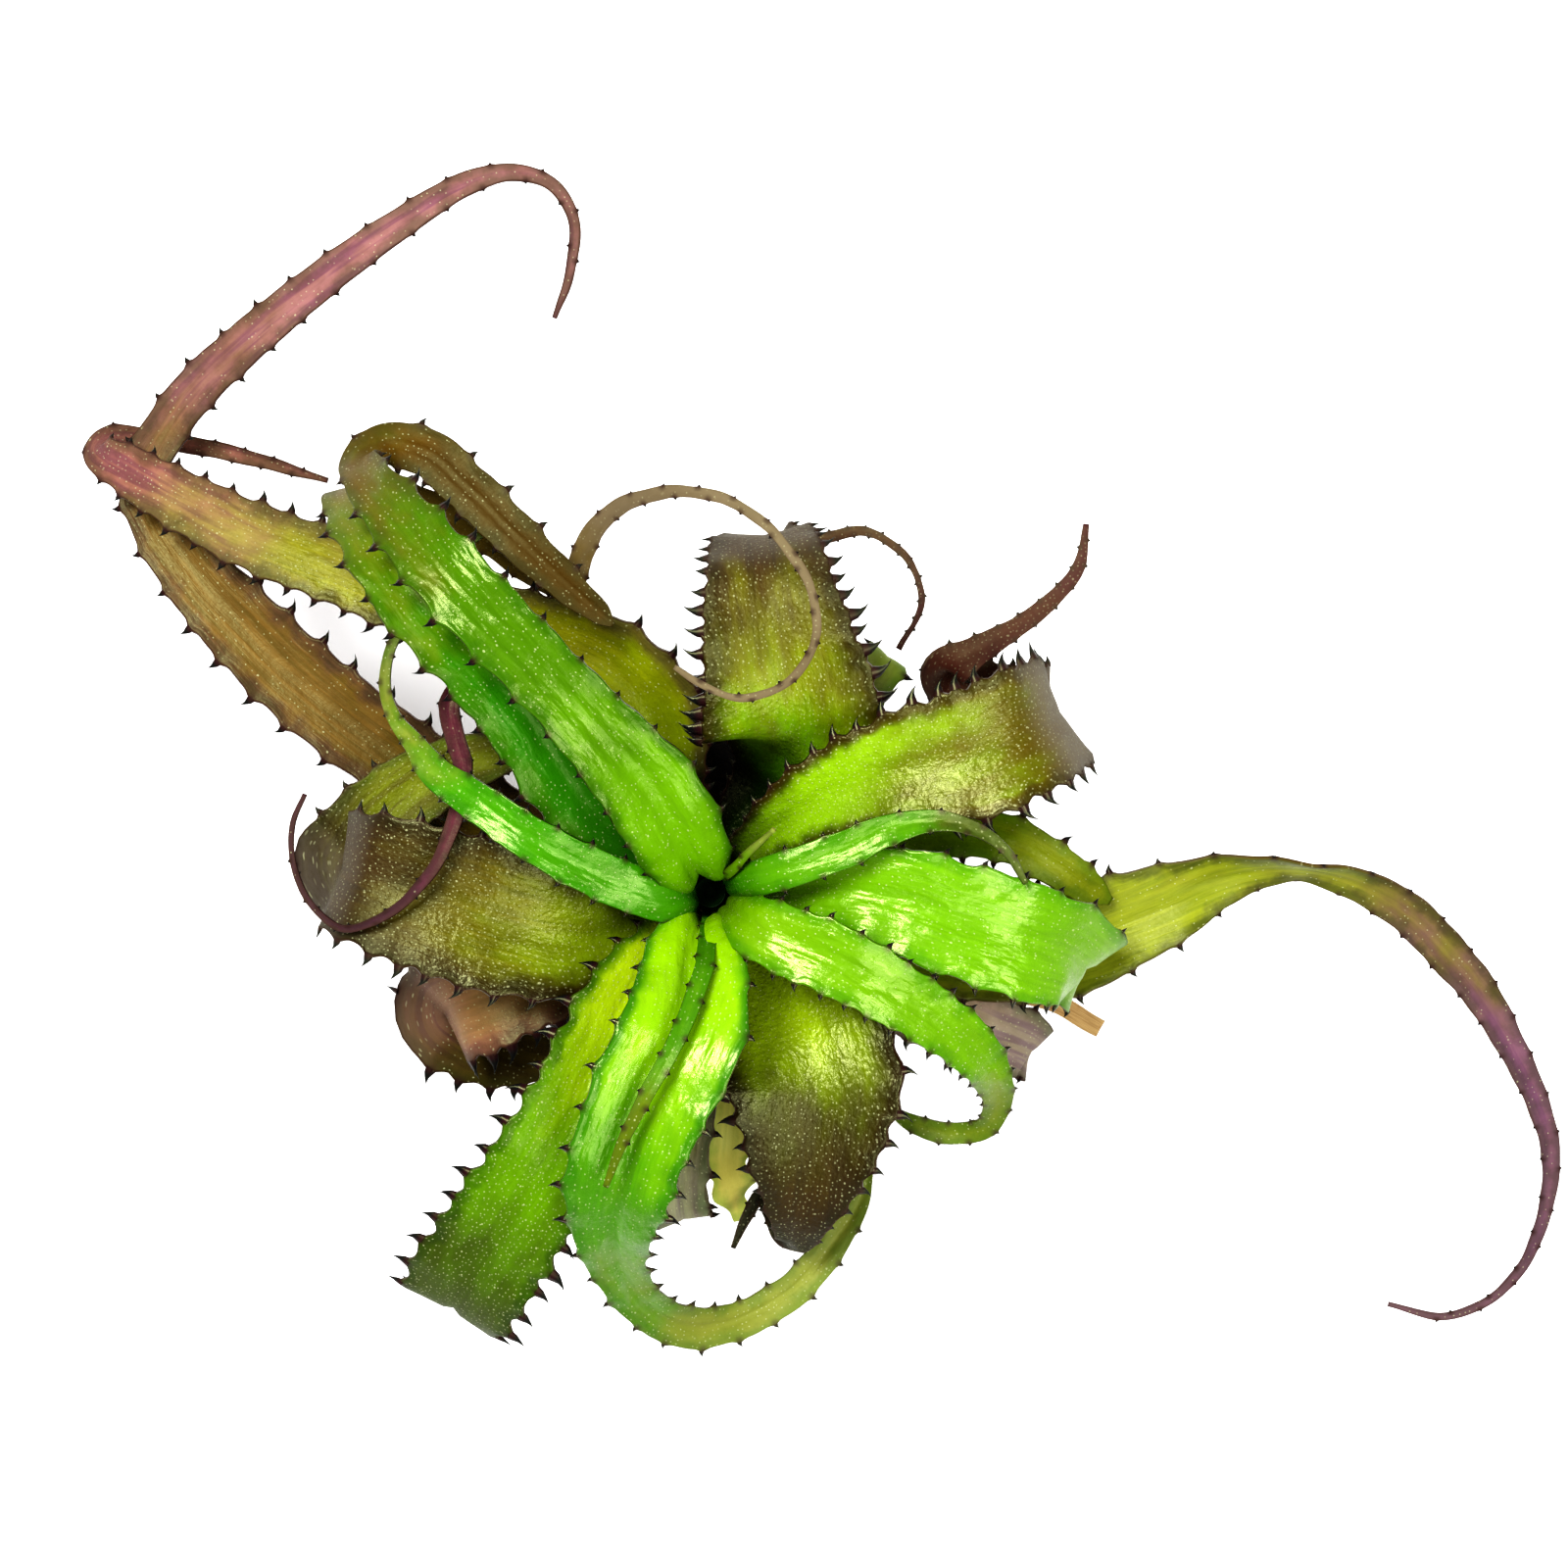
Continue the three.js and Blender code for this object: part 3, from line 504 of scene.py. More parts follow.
SKINS = {
    "leaf_01": skin((0x6AA008, 0x94C40C, 0xB4C828, 0xA0C424, 0xC4C860), 0.3, 0.8, flecks=0.1),
    "leaf_02": skin((0x5AA810, 0x6AA412, 0x5E8E0A, 0x66A81C, 0x7E8A10), 0.5, 0.66, flecks=0.6,
        clouds=0.1),
    "leaf_03": skin((0x80BC00, 0x5C8E02, 0x7A5602, 0x5A4A08, 0x5A3E02), 0.36, 0.46, YOUNG,
        scurf=0.3, gloss=0.3),
    "leaf_04": skin((0xAEE602, 0x569E02, 0x86901E, 0x96782A, 0x98A03C), 0.46, 0.5, YOUNG,
        scurf=0.25),
    "leaf_05": skin((0x8CC000, 0x80BA02, 0x7E9018, 0x7E6A1A, 0x7E9018), 0.4, 0.6, YOUNG, veins=0.4,
        scurf=0.1, clouds=0.12),
    "leaf_06": skin((0x54A002, 0x6AAC02, 0x5E8A14, 0x6E6420, 0x5E6A18), 0.4, 0.7, YOUNG, veins=0.4,
        scurf=0.1, buckles=1.1, dullness=0.24, gloss=0.4),
    "leaf_07": skin((0x509C02, 0x56AC02, 0xB4A444, 0x7E9028, 0x7A8A2E), 0.5, 0.5, YOUNG, veins=0.4,
        scurf=0.2, buckles=1.1, dullness=0.24, gloss=0.4),
    "leaf_08": skin((0x86C202, 0x80BE02, 0x86D01E, 0x7A7A2C, 0x86C01E), 0.4, 0.66, YOUNG,
        scurf=0.3, clouds=0.1),
    "leaf_09": skin((0x3A8A02, 0x3A9002, 0x9A9A0C, 0x7A6418, 0x8E7E62), 0.3, 0.2, veins=0.4,
        scurf=0.35, clouds=0.3, buckles=0.8, dullness=0.28, far_start=0.33),
    "leaf_10": skin((0xD8FA18, 0x74A802, 0x4C6402, 0x6E5612, 0x4C6002), 0.46, 0.46, flecks=0.9,
        puckers=0.5, scurf=0.1, clouds=0.42, buckles=0.8, dullness=0.28, rim_width=3),
    "leaf_11": skin((0x4A2222, 0x8C3A50, 0x84405C, 0x7C3C56, 0x6C3A50), 0.2, 0.5, flecks=0.1,
        clouds=0.6, base_shade=14),
    "leaf_12": skin((0x98B408, 0x6E6604, 0x482C08, 0xA0AC06, 0x98A406), 0.4, 0.34, OLIVE,
        veins=0.8, puckers=0.8, rim_width=7, base_shade=12, far_start=0.62),
    "leaf_13": skin((0xAEE214, 0x6C6206, 0x6E5016, 0x5E2A24, 0x5A2030), 0.44, 0.36, OLIVE,
        flecks=1, veins=0.4, puckers=0.7, scurf=1, clouds=0.55, dullness=0.3, rim_width=3.5,
        base_shade=10),
    "leaf_14": skin((0xBCE002, 0x4C4C02, 0x442A02, 0x463228, 0x2E2020), 0.52, 0.4, OLIVE,
        flecks=0.7, scurf=0.05, rim_width=7, base_shade=10),
    "leaf_15": skin((0x8AD800, 0x9AA202, 0x523408, 0x5E3A24, 0x5A2434), 0.44, 0.3, OLIVE,
        dullness=0.3, rim_width=6.5, base_shade=34),
    "leaf_16": skin((0x6C9404, 0x86B002, 0xAEC602, 0x5E7412, 0x8E9A10), 0.3, 0.85, flecks=0.2,
        puckers=0.3, scurf=0.1),
    "leaf_17": skin((0x7A9806, 0x9CA628, 0x8C7448, 0xA0762A, 0x96687E), 0.22, 0.36, TRAILING,
        puckers=0.15, clouds=0.5, rim_width=3),
    "leaf_18": skin((0x9AAE02, 0xA0A20E, 0xA89656, 0x926A2C, 0xB47A6E), 0.3, 0.42, TRAILING,
        flecks=0.5, puckers=0.6, scurf=0.1, buckles=0.5, dullness=0.32, base_shade=34,
        far_start=0.53),
    "leaf_19": skin((0x84700E, 0xB08A5C, 0xB07A6C, 0x6E5E0E, 0x5E4E10), 0.3, 0.5, scurf=0.3,
        clouds=0.8, base_shade=14),
    "leaf_20": skin((0x74741C, 0xDCC49A, 0xE0CCB8, 0x886E46, 0xB8A894), 0.3, 0.5, clouds=0.8,
        base_shade=14),
    "leaf_21": skin((0x6A7A22, 0x9AA060, 0xC4C8A0, 0xC8C69C, 0xB4B490), 0.3, 0.5, veins=1,
        scurf=0.4, clouds=0.8),
    "leaf_22": skin((0xD0F060, 0xF4FFA0, 0xF8FFB0, 0x86A030, 0x9AB038), 0.3, 0.6, flecks=0.1,
        scurf=0.1, clouds=0.2),
    "leaf_23": skin((0xFFF65C, 0xFFFF88, 0xFFF684, 0xFFF684, 0xFFF47C), 0.3, 0.6, flecks=0,
        scurf=0, clouds=0.05, base_shade=4),
    "leaf_24": skin((0x74640A, 0x866A34, 0x96705A, 0xA45C66, 0xB88282), 0.3, 0.44, TRAILING,
        veins=0.9),
}

for name, material in SKINS.items():
    material.name = name + "_skin"
print("Leaf skins:", len(SKINS))

# %% [markdown]
# ## How a leaf runs
# A strap leaf can be made from a curve and a bevel, by sculpting, or from a grid that is laid
# along a path. The path gives the most control over where the leaf bends, so each leaf is a list
# of places noted in the view from above: x, y, height, half width and, where it twists, roll.
# Before them stand the direction and height of its foot, and the length and spacing of its
# spines. Most of the places are those that the solids were made from, and the rest are close to
# them, so the fine leaf lies where its solid does. What lies deeper looks smaller from above, so
# it is spread from the viewing axis.

# %% The way of every leaf
LEAF_HEIGHT = 120.0
BLADE_MM = 0.8
CLEARANCE = 0.3
Leaf = namedtuple("Leaf", "foot spine pitch way late_spines", defaults=(False,))

LEAVES = {
    "leaf_01": Leaf(foot=(72, 96), spine=0.7, pitch=9, way=(
        (4.2, 4.6, 109, 0.9), (8.6, 9.1, 118, 0.7), (13, 13, 125, 0.4),
    )),
    "leaf_02": Leaf(foot=(280, 94.5), spine=0.9, pitch=8, way=(
        (0, -9, 112, 1.8), (-1, -15, 123, 1.8), (-6, -28, 131, 1.6), (-12, -39, 133, 1.4),
        (-17, -49, 131, 1), (-20, -57, 128, 0.5),
    )),
    "leaf_03": Leaf(foot=(112, 93), spine=2.4, pitch=10, late_spines=True, way=(
        (-2.4, 5.6, 106, 6.8), (-6, 12.4, 116.5, 9.2), (-11.6, 21.2, 124, 9.4),
        (-19.8, 30.4, 130, 8), (-29.4, 40.8, 134, 7), (-40.3, 52, 136, 7), (-51.5, 63.8, 135, 6.9),
        (-61.5, 75.5, 128, 5.9), (-67.2, 82.5, 120, 4.6), (-68, 86, 112, 4),
        (-63, 88.5, 106.5, 4.2), (-55.5, 87.2, 105, 4.8), (-47, 80, 106, 4.8),
        (-36.5, 69.5, 108, 4.4), (-27, 60.5, 107, 3.4), (-21, 55.3, 105.4, 2.2),
        (-18.5, 53.2, 105, 0.5),
    )),
    "leaf_04": Leaf(foot=(256, 87), spine=2.8, pitch=8, late_spines=True, way=(
        (-2, -6.8, 103, 6.8), (-2.6, -12.6, 113, 9.6), (-3, -18.5, 120, 10.8), (-5, -27, 126, 12),
        (-10.5, -38, 127, 11.8), (-14.3, -47, 126, 11), (-17.5, -57, 122, 10.4),
        (-18.6, -66.5, 114, 7.6), (-16.9, -74, 104.5, 5.2), (-11.8, -80.8, 95, 4.4),
        (-4, -84.5, 87, 4.4), (6, -83.3, 80, 3.8), (17, -77, 77, 3.6), (25, -67.5, 75, 3.2),
        (30, -59.5, 73, 2), (32, -53, 72, 0.5),
    )),
    "leaf_05": Leaf(foot=(320, 91), spine=2.2, pitch=5.5, way=(
        (10.2, -6.4, 115, 6), (19, -10, 120, 6.8), (26, -13, 122, 6.8), (34, -17.5, 121, 6.4),
        (43, -23, 117, 5.8), (51.5, -29.5, 111, 5.2), (55.8, -35.5, 104, 4),
        (56.8, -41, 97, 2.8), (54, -45.6, 91, 2.2), (47, -46.5, 87, 2.2), (40, -44.5, 85, 1.8),
        (35, -41, 84, 0.5),
    )),
    "leaf_06": Leaf(foot=(28, 93.5), spine=1.2, pitch=8, way=(
        (12.4, 4.3, 115.5, 3.7), (27.5, 9.4, 120, 3.6), (35, 12.8, 121, 3), (45.5, 14.8, 119, 2),
        (53.5, 12.7, 118, 1.3), (58.5, 9, 118.5, 0.9), (62.5, 2.5, 119.5, 0.5),
    )),
    "leaf_07": Leaf(foot=(196, 89), spine=1.6, pitch=7.5, way=(
        (-8.4, -0.4, 107, 4.9), (-19, 3.2, 114.5, 4.7), (-33.5, 10.6, 121, 4.2),
        (-44.5, 18, 119, 3.8), (-53.5, 24.5, 114, 3.1), (-58, 30.5, 110, 2),
        (-61.5, 35, 107, 1.4), (-63.3, 41, 104, 1.1), (-62.7, 47, 102, 1),
        (-60, 53, 100.5, 0.9), (-54, 62, 99, 0.8), (-46.5, 69.5, 98.5, 0.7),
        (-42, 72.5, 98, 0.5),
    )),
    "leaf_08": Leaf(foot=(358, 87), spine=2.4, pitch=8, way=(
        (14, 1, 103, 5), (23, 1.5, 110, 6.5), (32, 0.6, 114, 8.6), (39, -1, 115, 10.4),
        (48, -4.2, 115.5, 11), (57, -7, 115, 11.4), (65, -9.7, 112, 11.2), (72, -12, 106, 10.2),
        (74.5, -14.5, 99, 9.4), (70, -13.5, 94.5, 7.4), (62, -11.5, 95, 5), (53, -9, 96.5, 0.8),
    )),
    "leaf_09": Leaf(foot=(152, 87.5), spine=3, pitch=8.5, way=(
        (-12, 7.4, 100.5, 6), (-19.5, 13.4, 107.5, 8), (-27, 23, 115, 8.6), (-35, 35, 121, 8.6),
        (-46, 48, 125, 8.4), (-56, 58, 126, 8), (-64, 69, 121, 7.4), (-68, 76, 113.5, 6.8),
        (-69.5, 80, 104, 5.8), (-66.5, 79.5, 96, 5), (-56, 76.5, 93, 3.8), (-42, 69, 90.5, 2.8),
        (-32, 62, 90.5, 2.5), (-26.8, 61.5, 94, 2.4), (-24.4, 67.8, 99, 2.2),
        (-20, 74.4, 104, 1.8), (-13, 78.2, 111, 1.4), (-4.5, 79.4, 117, 1.1),
        (3.5, 77.8, 121, 1), (10.5, 73.6, 124, 0.9),
        (16.2, 67.4, 126, 0.85), (20.2, 60.4, 126, 0.8), (21.4, 52.6, 125, 0.75),
        (19.2, 45.8, 122, 0.75), (13.5, 40.6, 119, 0.7), (6.5, 38.9, 117, 0.65),
        (0.5, 40.6, 116, 0.6), (-6.5, 45, 116, 0.5),
    )),
    "leaf_10": Leaf(foot=(230, 84.5), spine=5.2, pitch=7, way=(
        (-10, -12, 100, 6.5), (-15, -20, 107, 8.6), (-19.5, -30, 111, 9.6),
        (-25, -42, 113, 10.2), (-30.5, -51.5, 113, 10.6), (-37, -61, 109, 11),
        (-43, -70, 102.5, 11.4), (-48, -77.5, 95, 11.6), (-50, -81, 86, 9.6),
        (-49, -79, 79, 7.4), (-43, -70, 74, 5), (-36, -60, 73, 0.8),
    )),
    "leaf_11": Leaf(foot=(140, 83.5), spine=1.1, pitch=9, way=(
        (-14, 15, 97, 4), (-27, 29, 104, 3.6), (-38, 38.5, 109, 2.9), (-46, 42, 111, 2.3),
        (-50.5, 38.5, 112, 1.9), (-49.5, 31, 112, 1.9), (-48, 25, 112, 1.8),
        (-49, 17.5, 112, 1.6), (-51.5, 10, 112, 1.3), (-54.5, 4.5, 112, 1.1),
        (-60, -1.5, 111, 0.9), (-66, -5.2, 110, 0.75), (-72, -6.3, 108, 0.65),
        (-77.5, -2, 106, 0.6), (-81, 5, 104, 0.55), (-81.5, 14, 102, 0.5), (-79, 20, 101, 0.45),
    )),
    "leaf_12": Leaf(foot=(192, 80), spine=4, pitch=6.5, way=(
        (-12.5, -5.5, 92, 6), (-21, -7.5, 97, 10), (-31, -7, 102, 13), (-42.5, -4, 105, 14.4),
        (-54, -0.4, 106, 14), (-62, 2, 105.8, 13.4), (-67.8, 3.8, 104, 12.6),
        (-71, 5, 99.5, 11.8), (-71.4, 5.8, 94, 11), (-68.8, 9.4, 90.2, 10), (-64, 15.4, 89, 8.8),
        (-57, 21.5, 88.8, 7.4), (-46, 26.5, 89, 5.6), (-31, 28.5, 89.5, 0.8),
    )),
    "leaf_13": Leaf(foot=(42, 80), spine=4.6, pitch=5, way=(
        (13, 13, 94, 5.6), (19, 17.5, 101, 7.2), (28, 21.7, 106, 8.8), (39, 25.2, 110, 10.6),
        (52, 28, 112, 12.2), (61.5, 32, 110.5, 12), (67, 34.5, 105.5, 11.4),
        (69, 35.8, 97, 10.2), (67.5, 36.4, 88, 8.8), (61, 37.8, 81, 7.4), (54, 39.8, 78, 6.4),
        (48, 42, 78.5, 5.6), (46, 43.8, 83, 5), (48.5, 45.6, 87, 4.2), (54, 48.8, 88, 2.8),
        (61, 53, 87.5, 2), (68, 58.5, 87, 1.6), (73, 65, 86.5, 1.2), (74.2, 73, 86, 0.5),
    )),
    "leaf_14": Leaf(foot=(304, 78.5), spine=4.4, pitch=5.2, way=(
        (10, -14, 90, 8), (15.5, -22, 98, 13.4), (19.3, -30, 103, 16.8), (21, -37, 105, 16.8),
        (20.9, -43, 105, 15.2), (20.3, -49.2, 104, 13.2), (19.6, -54.8, 102, 10.8),
        (18.8, -60, 99, 8.2), (17.8, -65, 94.5, 5.4), (16.6, -68, 88, 3.4), (14.8, -66.5, 82, 2.4),
        (12.6, -62, 78, 1.9), (10.4, -58.8, 76, 1.5), (7.8, -62.8, 75, 1.1), (5, -69, 74, 0.5),
    )),
    "leaf_15": Leaf(foot=(76, 69), spine=5.6, pitch=3.7, way=(
        (5.5, 14.5, 69.5, 4.6), (11, 21.5, 72, 7), (15.4, 26, 82, 13), (16.4, 29.5, 94, 17),
        (16.4, 35, 101, 16.8), (15.6, 41.5, 104, 15.8), (13.8, 50, 106, 14.2),
        (12.3, 59.5, 105.5, 12.3), (11.3, 66.5, 102, 10.8), (10.8, 70, 94, 9.6),
        (11.2, 70.5, 85, 8), (13, 69, 78, 5.6), (17, 67.5, 75, 3), (22.5, 70, 76, 1.3),
        (31, 71.5, 78, 0.9), (38.5, 67, 79, 0.7), (42, 59.5, 79, 0.6), (41.2, 55, 78, 0.55),
        (37.5, 48.5, 76, 0.5),
    )),
    "leaf_16": Leaf(foot=(16, 77.5), spine=2.8, pitch=8, way=(
        (15, 5, 82, 4.4), (28, 9.5, 87, 5), (41, 12, 92, 5), (52, 12.6, 95.5, 5),
        (60.5, 10.6, 98, 4.6), (69, 5.6, 96.5, 4.2), (75.5, 1.2, 93, 3.2), (79, -1, 90.5, 0.8),
    )),
    "leaf_17": Leaf(foot=(350, 75), spine=2.8, pitch=10, way=(
        (15, -2.5, 79, 6), (27, -4, 82, 8.5), (42, -7, 84, 11), (57, -9, 84.5, 12),
        (71, -8.6, 85, 11), (81, -5, 86, 9.6), (90, -1.4, 87, 8.2), (99.5, 3, 88, 6, 20),
        (109, 5.2, 88.5, 4.4, 45), (117.5, 5.2, 88, 4, 65), (127, 2.8, 86, 4, 40),
        (137, -2.9, 82, 4.2, 20), (145, -11, 77, 4.2, 10), (151.5, -18.8, 72, 3.8),
        (158, -30, 65, 3), (162.5, -39.5, 59, 2.5), (165.4, -50, 52, 2), (164.5, -61, 45, 1.5),
        (160, -72.5, 39, 1.1), (153, -79.5, 35, 0.9), (144, -82.5, 32, 0.8),
        (133.5, -80, 30, 0.5),
    )),
    "leaf_18": Leaf(foot=(106, 72.5), spine=3.6, pitch=6.5, way=(
        (-7.5, 20, 79, 7.2), (-10.5, 35, 87, 9.6), (-21, 45.6, 90, 9.6), (-35, 50.6, 91, 9),
        (-50, 55.5, 90.5, 8), (-65, 61.5, 90, 7.4), (-77, 66, 89, 7), (-89, 70.5, 88, 6.8),
        (-103, 77.5, 85, 6), (-113.5, 83.5, 80, 5), (-119.5, 87.6, 74, 3.6),
        (-116.5, 90, 69, 2.6), (-108, 89.6, 66, 2), (-94, 87, 64, 1.7), (-84.5, 84.5, 63, 1.3),
        (-74.5, 81.5, 62, 0.5),
    )),
    "leaf_19": Leaf(foot=(208, 72), spine=5, pitch=5, way=(
        (-16, -9, 81, 7), (-29, -14, 88, 9), (-40, -18, 90, 10.2), (-47.5, -20.8, 88.5, 10.8),
        (-50.8, -22.2, 84.5, 11), (-51.4, -23.2, 79, 10.8), (-49.2, -25, 75.4, 10),
        (-44, -28, 74, 9), (-36, -30.5, 73.5, 7.4), (-27, -33, 73, 0.8),
    )),
    "leaf_20": Leaf(foot=(334, 71.5), spine=3, pitch=9, way=(
        (18, -9.5, 73, 6), (31, -15.5, 76, 7.4), (43, -21.5, 78.5, 8), (53, -26, 80, 8),
        (61, -29, 77.5, 7.4), (63.5, -30.5, 74, 6), (59, -30, 71.5, 4.2), (51, -28, 71, 0.8),
    )),
    "leaf_21": Leaf(foot=(256, 71), spine=3, pitch=9, way=(
        (-2, -19, 80, 5.6), (-3, -33, 87, 6), (-4.8, -46, 89, 5.8), (-5.6, -56, 88, 5.6),
        (-5, -63, 83, 5.4), (-4, -62, 77.5, 4.6), (-3.5, -54, 75, 3), (-3, -46, 74, 0.8),
    )),
    "leaf_22": Leaf(foot=(54, 66.5), spine=3, pitch=9, way=(
        (14, 17, 69, 4.6), (24, 31, 76, 5), (31.5, 41.5, 80, 5), (35, 46.5, 77, 4.4),
        (35, 46, 71, 3.4), (33, 40, 68, 0.8),
    )),
    "leaf_23": Leaf(foot=(282, 67), spine=3, pitch=9, way=(
        (5, -18, 72, 5), (6.5, -32, 77, 5.6), (4.6, -45, 78.5, 5.4), (4, -54, 75, 4.6),
        (5.5, -60.5, 67.5, 2.6), (6, -63.5, 63, 0.8),
    )),
    "leaf_24": Leaf(foot=(168, 68), spine=3.2, pitch=9.5, way=(
        (-20, 5, 73, 6), (-38, 13, 76, 7.6), (-55, 23.5, 78, 8.4), (-70, 34, 79, 8.6),
        (-82, 44, 79, 8.5), (-92, 54, 79, 8), (-101, 64, 78, 7), (-108, 74.5, 76, 6),
        (-110.5, 83, 74, 5), (-106, 92, 74, 4.6), (-100.2, 99.6, 76, 4.6),
        (-91.5, 107.8, 79, 4.4), (-80, 117.5, 82, 4), (-70, 125.2, 84, 3.6),
        (-59.5, 132.5, 85, 3.1), (-48, 139.5, 85, 2.5), (-39, 142, 83, 1.8), (-31, 140, 80, 1.4),
        (-26.4, 133.3, 76, 1.2), (-27, 122.5, 71, 1), (-30, 113.5, 66, 0.5),
    )),
    "dry_leaf": Leaf(foot=(322, 64.5), spine=0, pitch=12, way=(
        (18, -9, 66.5, 3), (36, -13.5, 69, 2.6), (54, -17.5, 67, 2.2), (67, -20.5, 65, 2),
        (77, -26, 63, 1.9),
    )),
}


def deepen(x, y, z):
    """The place in space of a point noted in the view from above."""
    spread = (VIEW_HEIGHT - z) / (VIEW_HEIGHT - LEAF_HEIGHT)
    return Vector((VIEW_X + (x - VIEW_X) * spread, VIEW_Y + (y - VIEW_Y) * spread, z))


print("Leaves on the plant:", len(LEAVES))

# %% [markdown]
# ## Smooth curves through noted points
# Between the noted places the leaf has to flow. A Catmull-Rom curve passes through every point
# and never overshoots much, which suits leaves that double back sharply. The centripetal form is
# used for the midline, and a plain one with low tension for the widths and rolls.

# %% Curves through points
SHAPE_TENSION = 0.4


def cubic(a, b, slope_a, slope_b, t):
    return (
        a
        + slope_a * t
        + (b * 3 - a * 3 - slope_a * 2 - slope_b) * t**2
        + (a * 2 - b * 2 + slope_a + slope_b) * t**3
    )


def four_points(points, t):
    """The two points around share t of the way, the ones beyond them, and the share between."""
    last = len(points) - 1
    at = limit(t * last, last)
    i = min(last - 1, int(at))
    before = points[i - 1] if i > 0 else points[0] * 2 - points[1]
    after = points[i + 2] if i + 2 <= last else points[last] * 2 - points[last - 1]
    return before, points[i], points[i + 1], after, at - i


def on_midline(points, t):
    """A centripetal curve: tight bends stay free of loops."""
    before, a, b, after, share = four_points(points, t)
    step_0, step, step_1 = (
        max(1e-4, (q - p).length ** 0.5) for p, q in ((before, a), (a, b), (b, after))
    )
    slope_a = (a - before) / step_0 - (b - before) / (step_0 + step) + (b - a) / step
    slope_b = (b - a) / step - (after - a) / (step + step_1) + (after - b) / step_1
    return cubic(a, b, slope_a * step, slope_b * step, share)


def on_shape(points, t):
    """A plain curve for half width and roll."""
    before, a, b, after, share = four_points(points, t)
    return cubic(a, b, (b - before) * SHAPE_TENSION, (after - a) * SHAPE_TENSION, share)


print("Half way between two points:", on_midline([Vector((0, 0, 0)), Vector((2, 0, 0))], 0.5))

# %% [markdown]
# ## Following a leaf from foot to tip
# At each step the tracer notes the place, the direction along the leaf and the direction across
# it. A lying blade keeps its width level, and where it hangs it keeps the direction it had, as a
# ribbon does.

# %% The trace of a leaf
STEM_RADIUS = 6.0
STEM_NECK_RADIUS = 3.9
STEM_TOP_RADIUS = 0.8
STEM_FOOT_Z = 34.0
STEM_NECK_Z = 94.0
STEM_TOP_Z = 99.0
MIX_LEVEL = 60.0
BASE_HALF_WIDTH = 3.6
BASE_SWELL = 1.2
NARROWEST_MM = 0.45
LEVELLING = 0.25
STEPS_BETWEEN_POINTS = 24
TANGENT_STEP = 1e-4


def stem_radius(z):
    """The stem is full up to the mix, thinner at its neck, and pointed above it."""
    share = limit((z - MIX_LEVEL) / (STEM_NECK_Z - MIX_LEVEL))
    tip = limit((z - STEM_NECK_Z) / (STEM_TOP_Z - STEM_NECK_Z))
    return mix(mix(STEM_RADIUS, STEM_NECK_RADIUS, share), STEM_TOP_RADIUS, tip)


class Trace:
    """The midline of a leaf, with its half width and its crosswise direction at any length."""

    def __init__(self, leaf):
        azimuth = math.radians(leaf.foot[0])
        radius = stem_radius(leaf.foot[1]) + CLEARANCE + BLADE_MM * 0.8
        foot = Vector((radius * math.cos(azimuth), radius * math.sin(azimuth), leaf.foot[1]))
        places = [foot] + [deepen(*place[:3]) for place in leaf.way]
        first_width = min(BASE_HALF_WIDTH, leaf.way[0][3] * BASE_SWELL)
        shapes = [Vector((first_width, 0, 0))]
        shapes += [Vector((p[3], p[4] if len(p) > 4 else 0, 0)) for p in leaf.way]
        steps = STEPS_BETWEEN_POINTS * (len(places) - 1)
        across = Vector((-math.sin(azimuth), math.cos(azimuth), 0))
        self.rows = []
        length = 0.0
        for i in range(steps + 1):
            t = i / steps
            point = on_midline(places, t)
            ahead = on_midline(places, min(1.0, t + TANGENT_STEP))
            behind = on_midline(places, max(0.0, t - TANGENT_STEP))
            along = (ahead - behind).normalized()
            if self.rows:
                length += (point - self.rows[-1][1]).length
            level = Vector((0, 0, 1)).cross(along)
            lying = min(1.0, level.length_squared * 1.5)
            if level.dot(across) < 0:
                level.negate()
            across = across.lerp(level.normalized(), lying * LEVELLING)
            across = (across - along * across.dot(along)).normalized()
            width, roll, _ = on_shape(shapes, t)
            turned = across.copy()
            turned.rotate(Matrix.Rotation(math.radians(roll), 3, along))
            self.rows.append((length, point, along, turned, max(NARROWEST_MM, width)))
        self.length = length
        self.widest = max(row[4] for row in self.rows)
        # Lengths looked up before are kept, as each is asked for many times.
        self.known = {}

    def at(self, length):
        """Place, along, across, face and half width at a length, mixed from two neighbours."""
        wanted = round(limit(length, self.length), 4)
        if wanted in self.known:
            return self.known[wanted]
        i = bisect_left(self.rows, wanted, 1, len(self.rows) - 1, key=lambda row: row[0])
        a, b = self.rows[i - 1], self.rows[i]
        share = (wanted - a[0]) / max(1e-6, b[0] - a[0])
        along = a[2].lerp(b[2], share).normalized()
        across = a[3].lerp(b[3], share).normalized()
        face = along.cross(across).normalized()
        place = a[1].lerp(b[1], share)
        self.known[wanted] = (place, along, across, face, mix(a[4], b[4], share))
        return self.known[wanted]


trace = Trace(LEAVES["leaf_24"])
print("Length of the longest tail in mm:", round(trace.length))

# %% [markdown]
# ## Where the spines grow
# Spines stand in staggered pairs along both margins, a little closer on one leaf than on
# another, and no two are quite the same. On two leaves they grow longer towards the tip. The
# small random draws repeat on every run, because they start from a fixed seed for each leaf.

# %% Places of the spines
BARE_BASE = 11.2
PAIR_STAGGER = 0.16
LATE_SPINES = (0.8, 2.0)
DRAW_FACTOR = 1664525
DRAW_STEP = 1013904223
DRAW_RANGE = 2**32


def make_random(seed):
    """A small repeatable random number maker."""
    state = [seed]

    def draw():
        state[0] = (state[0] * DRAW_FACTOR + DRAW_STEP) % DRAW_RANGE
        return state[0] / DRAW_RANGE

    return draw


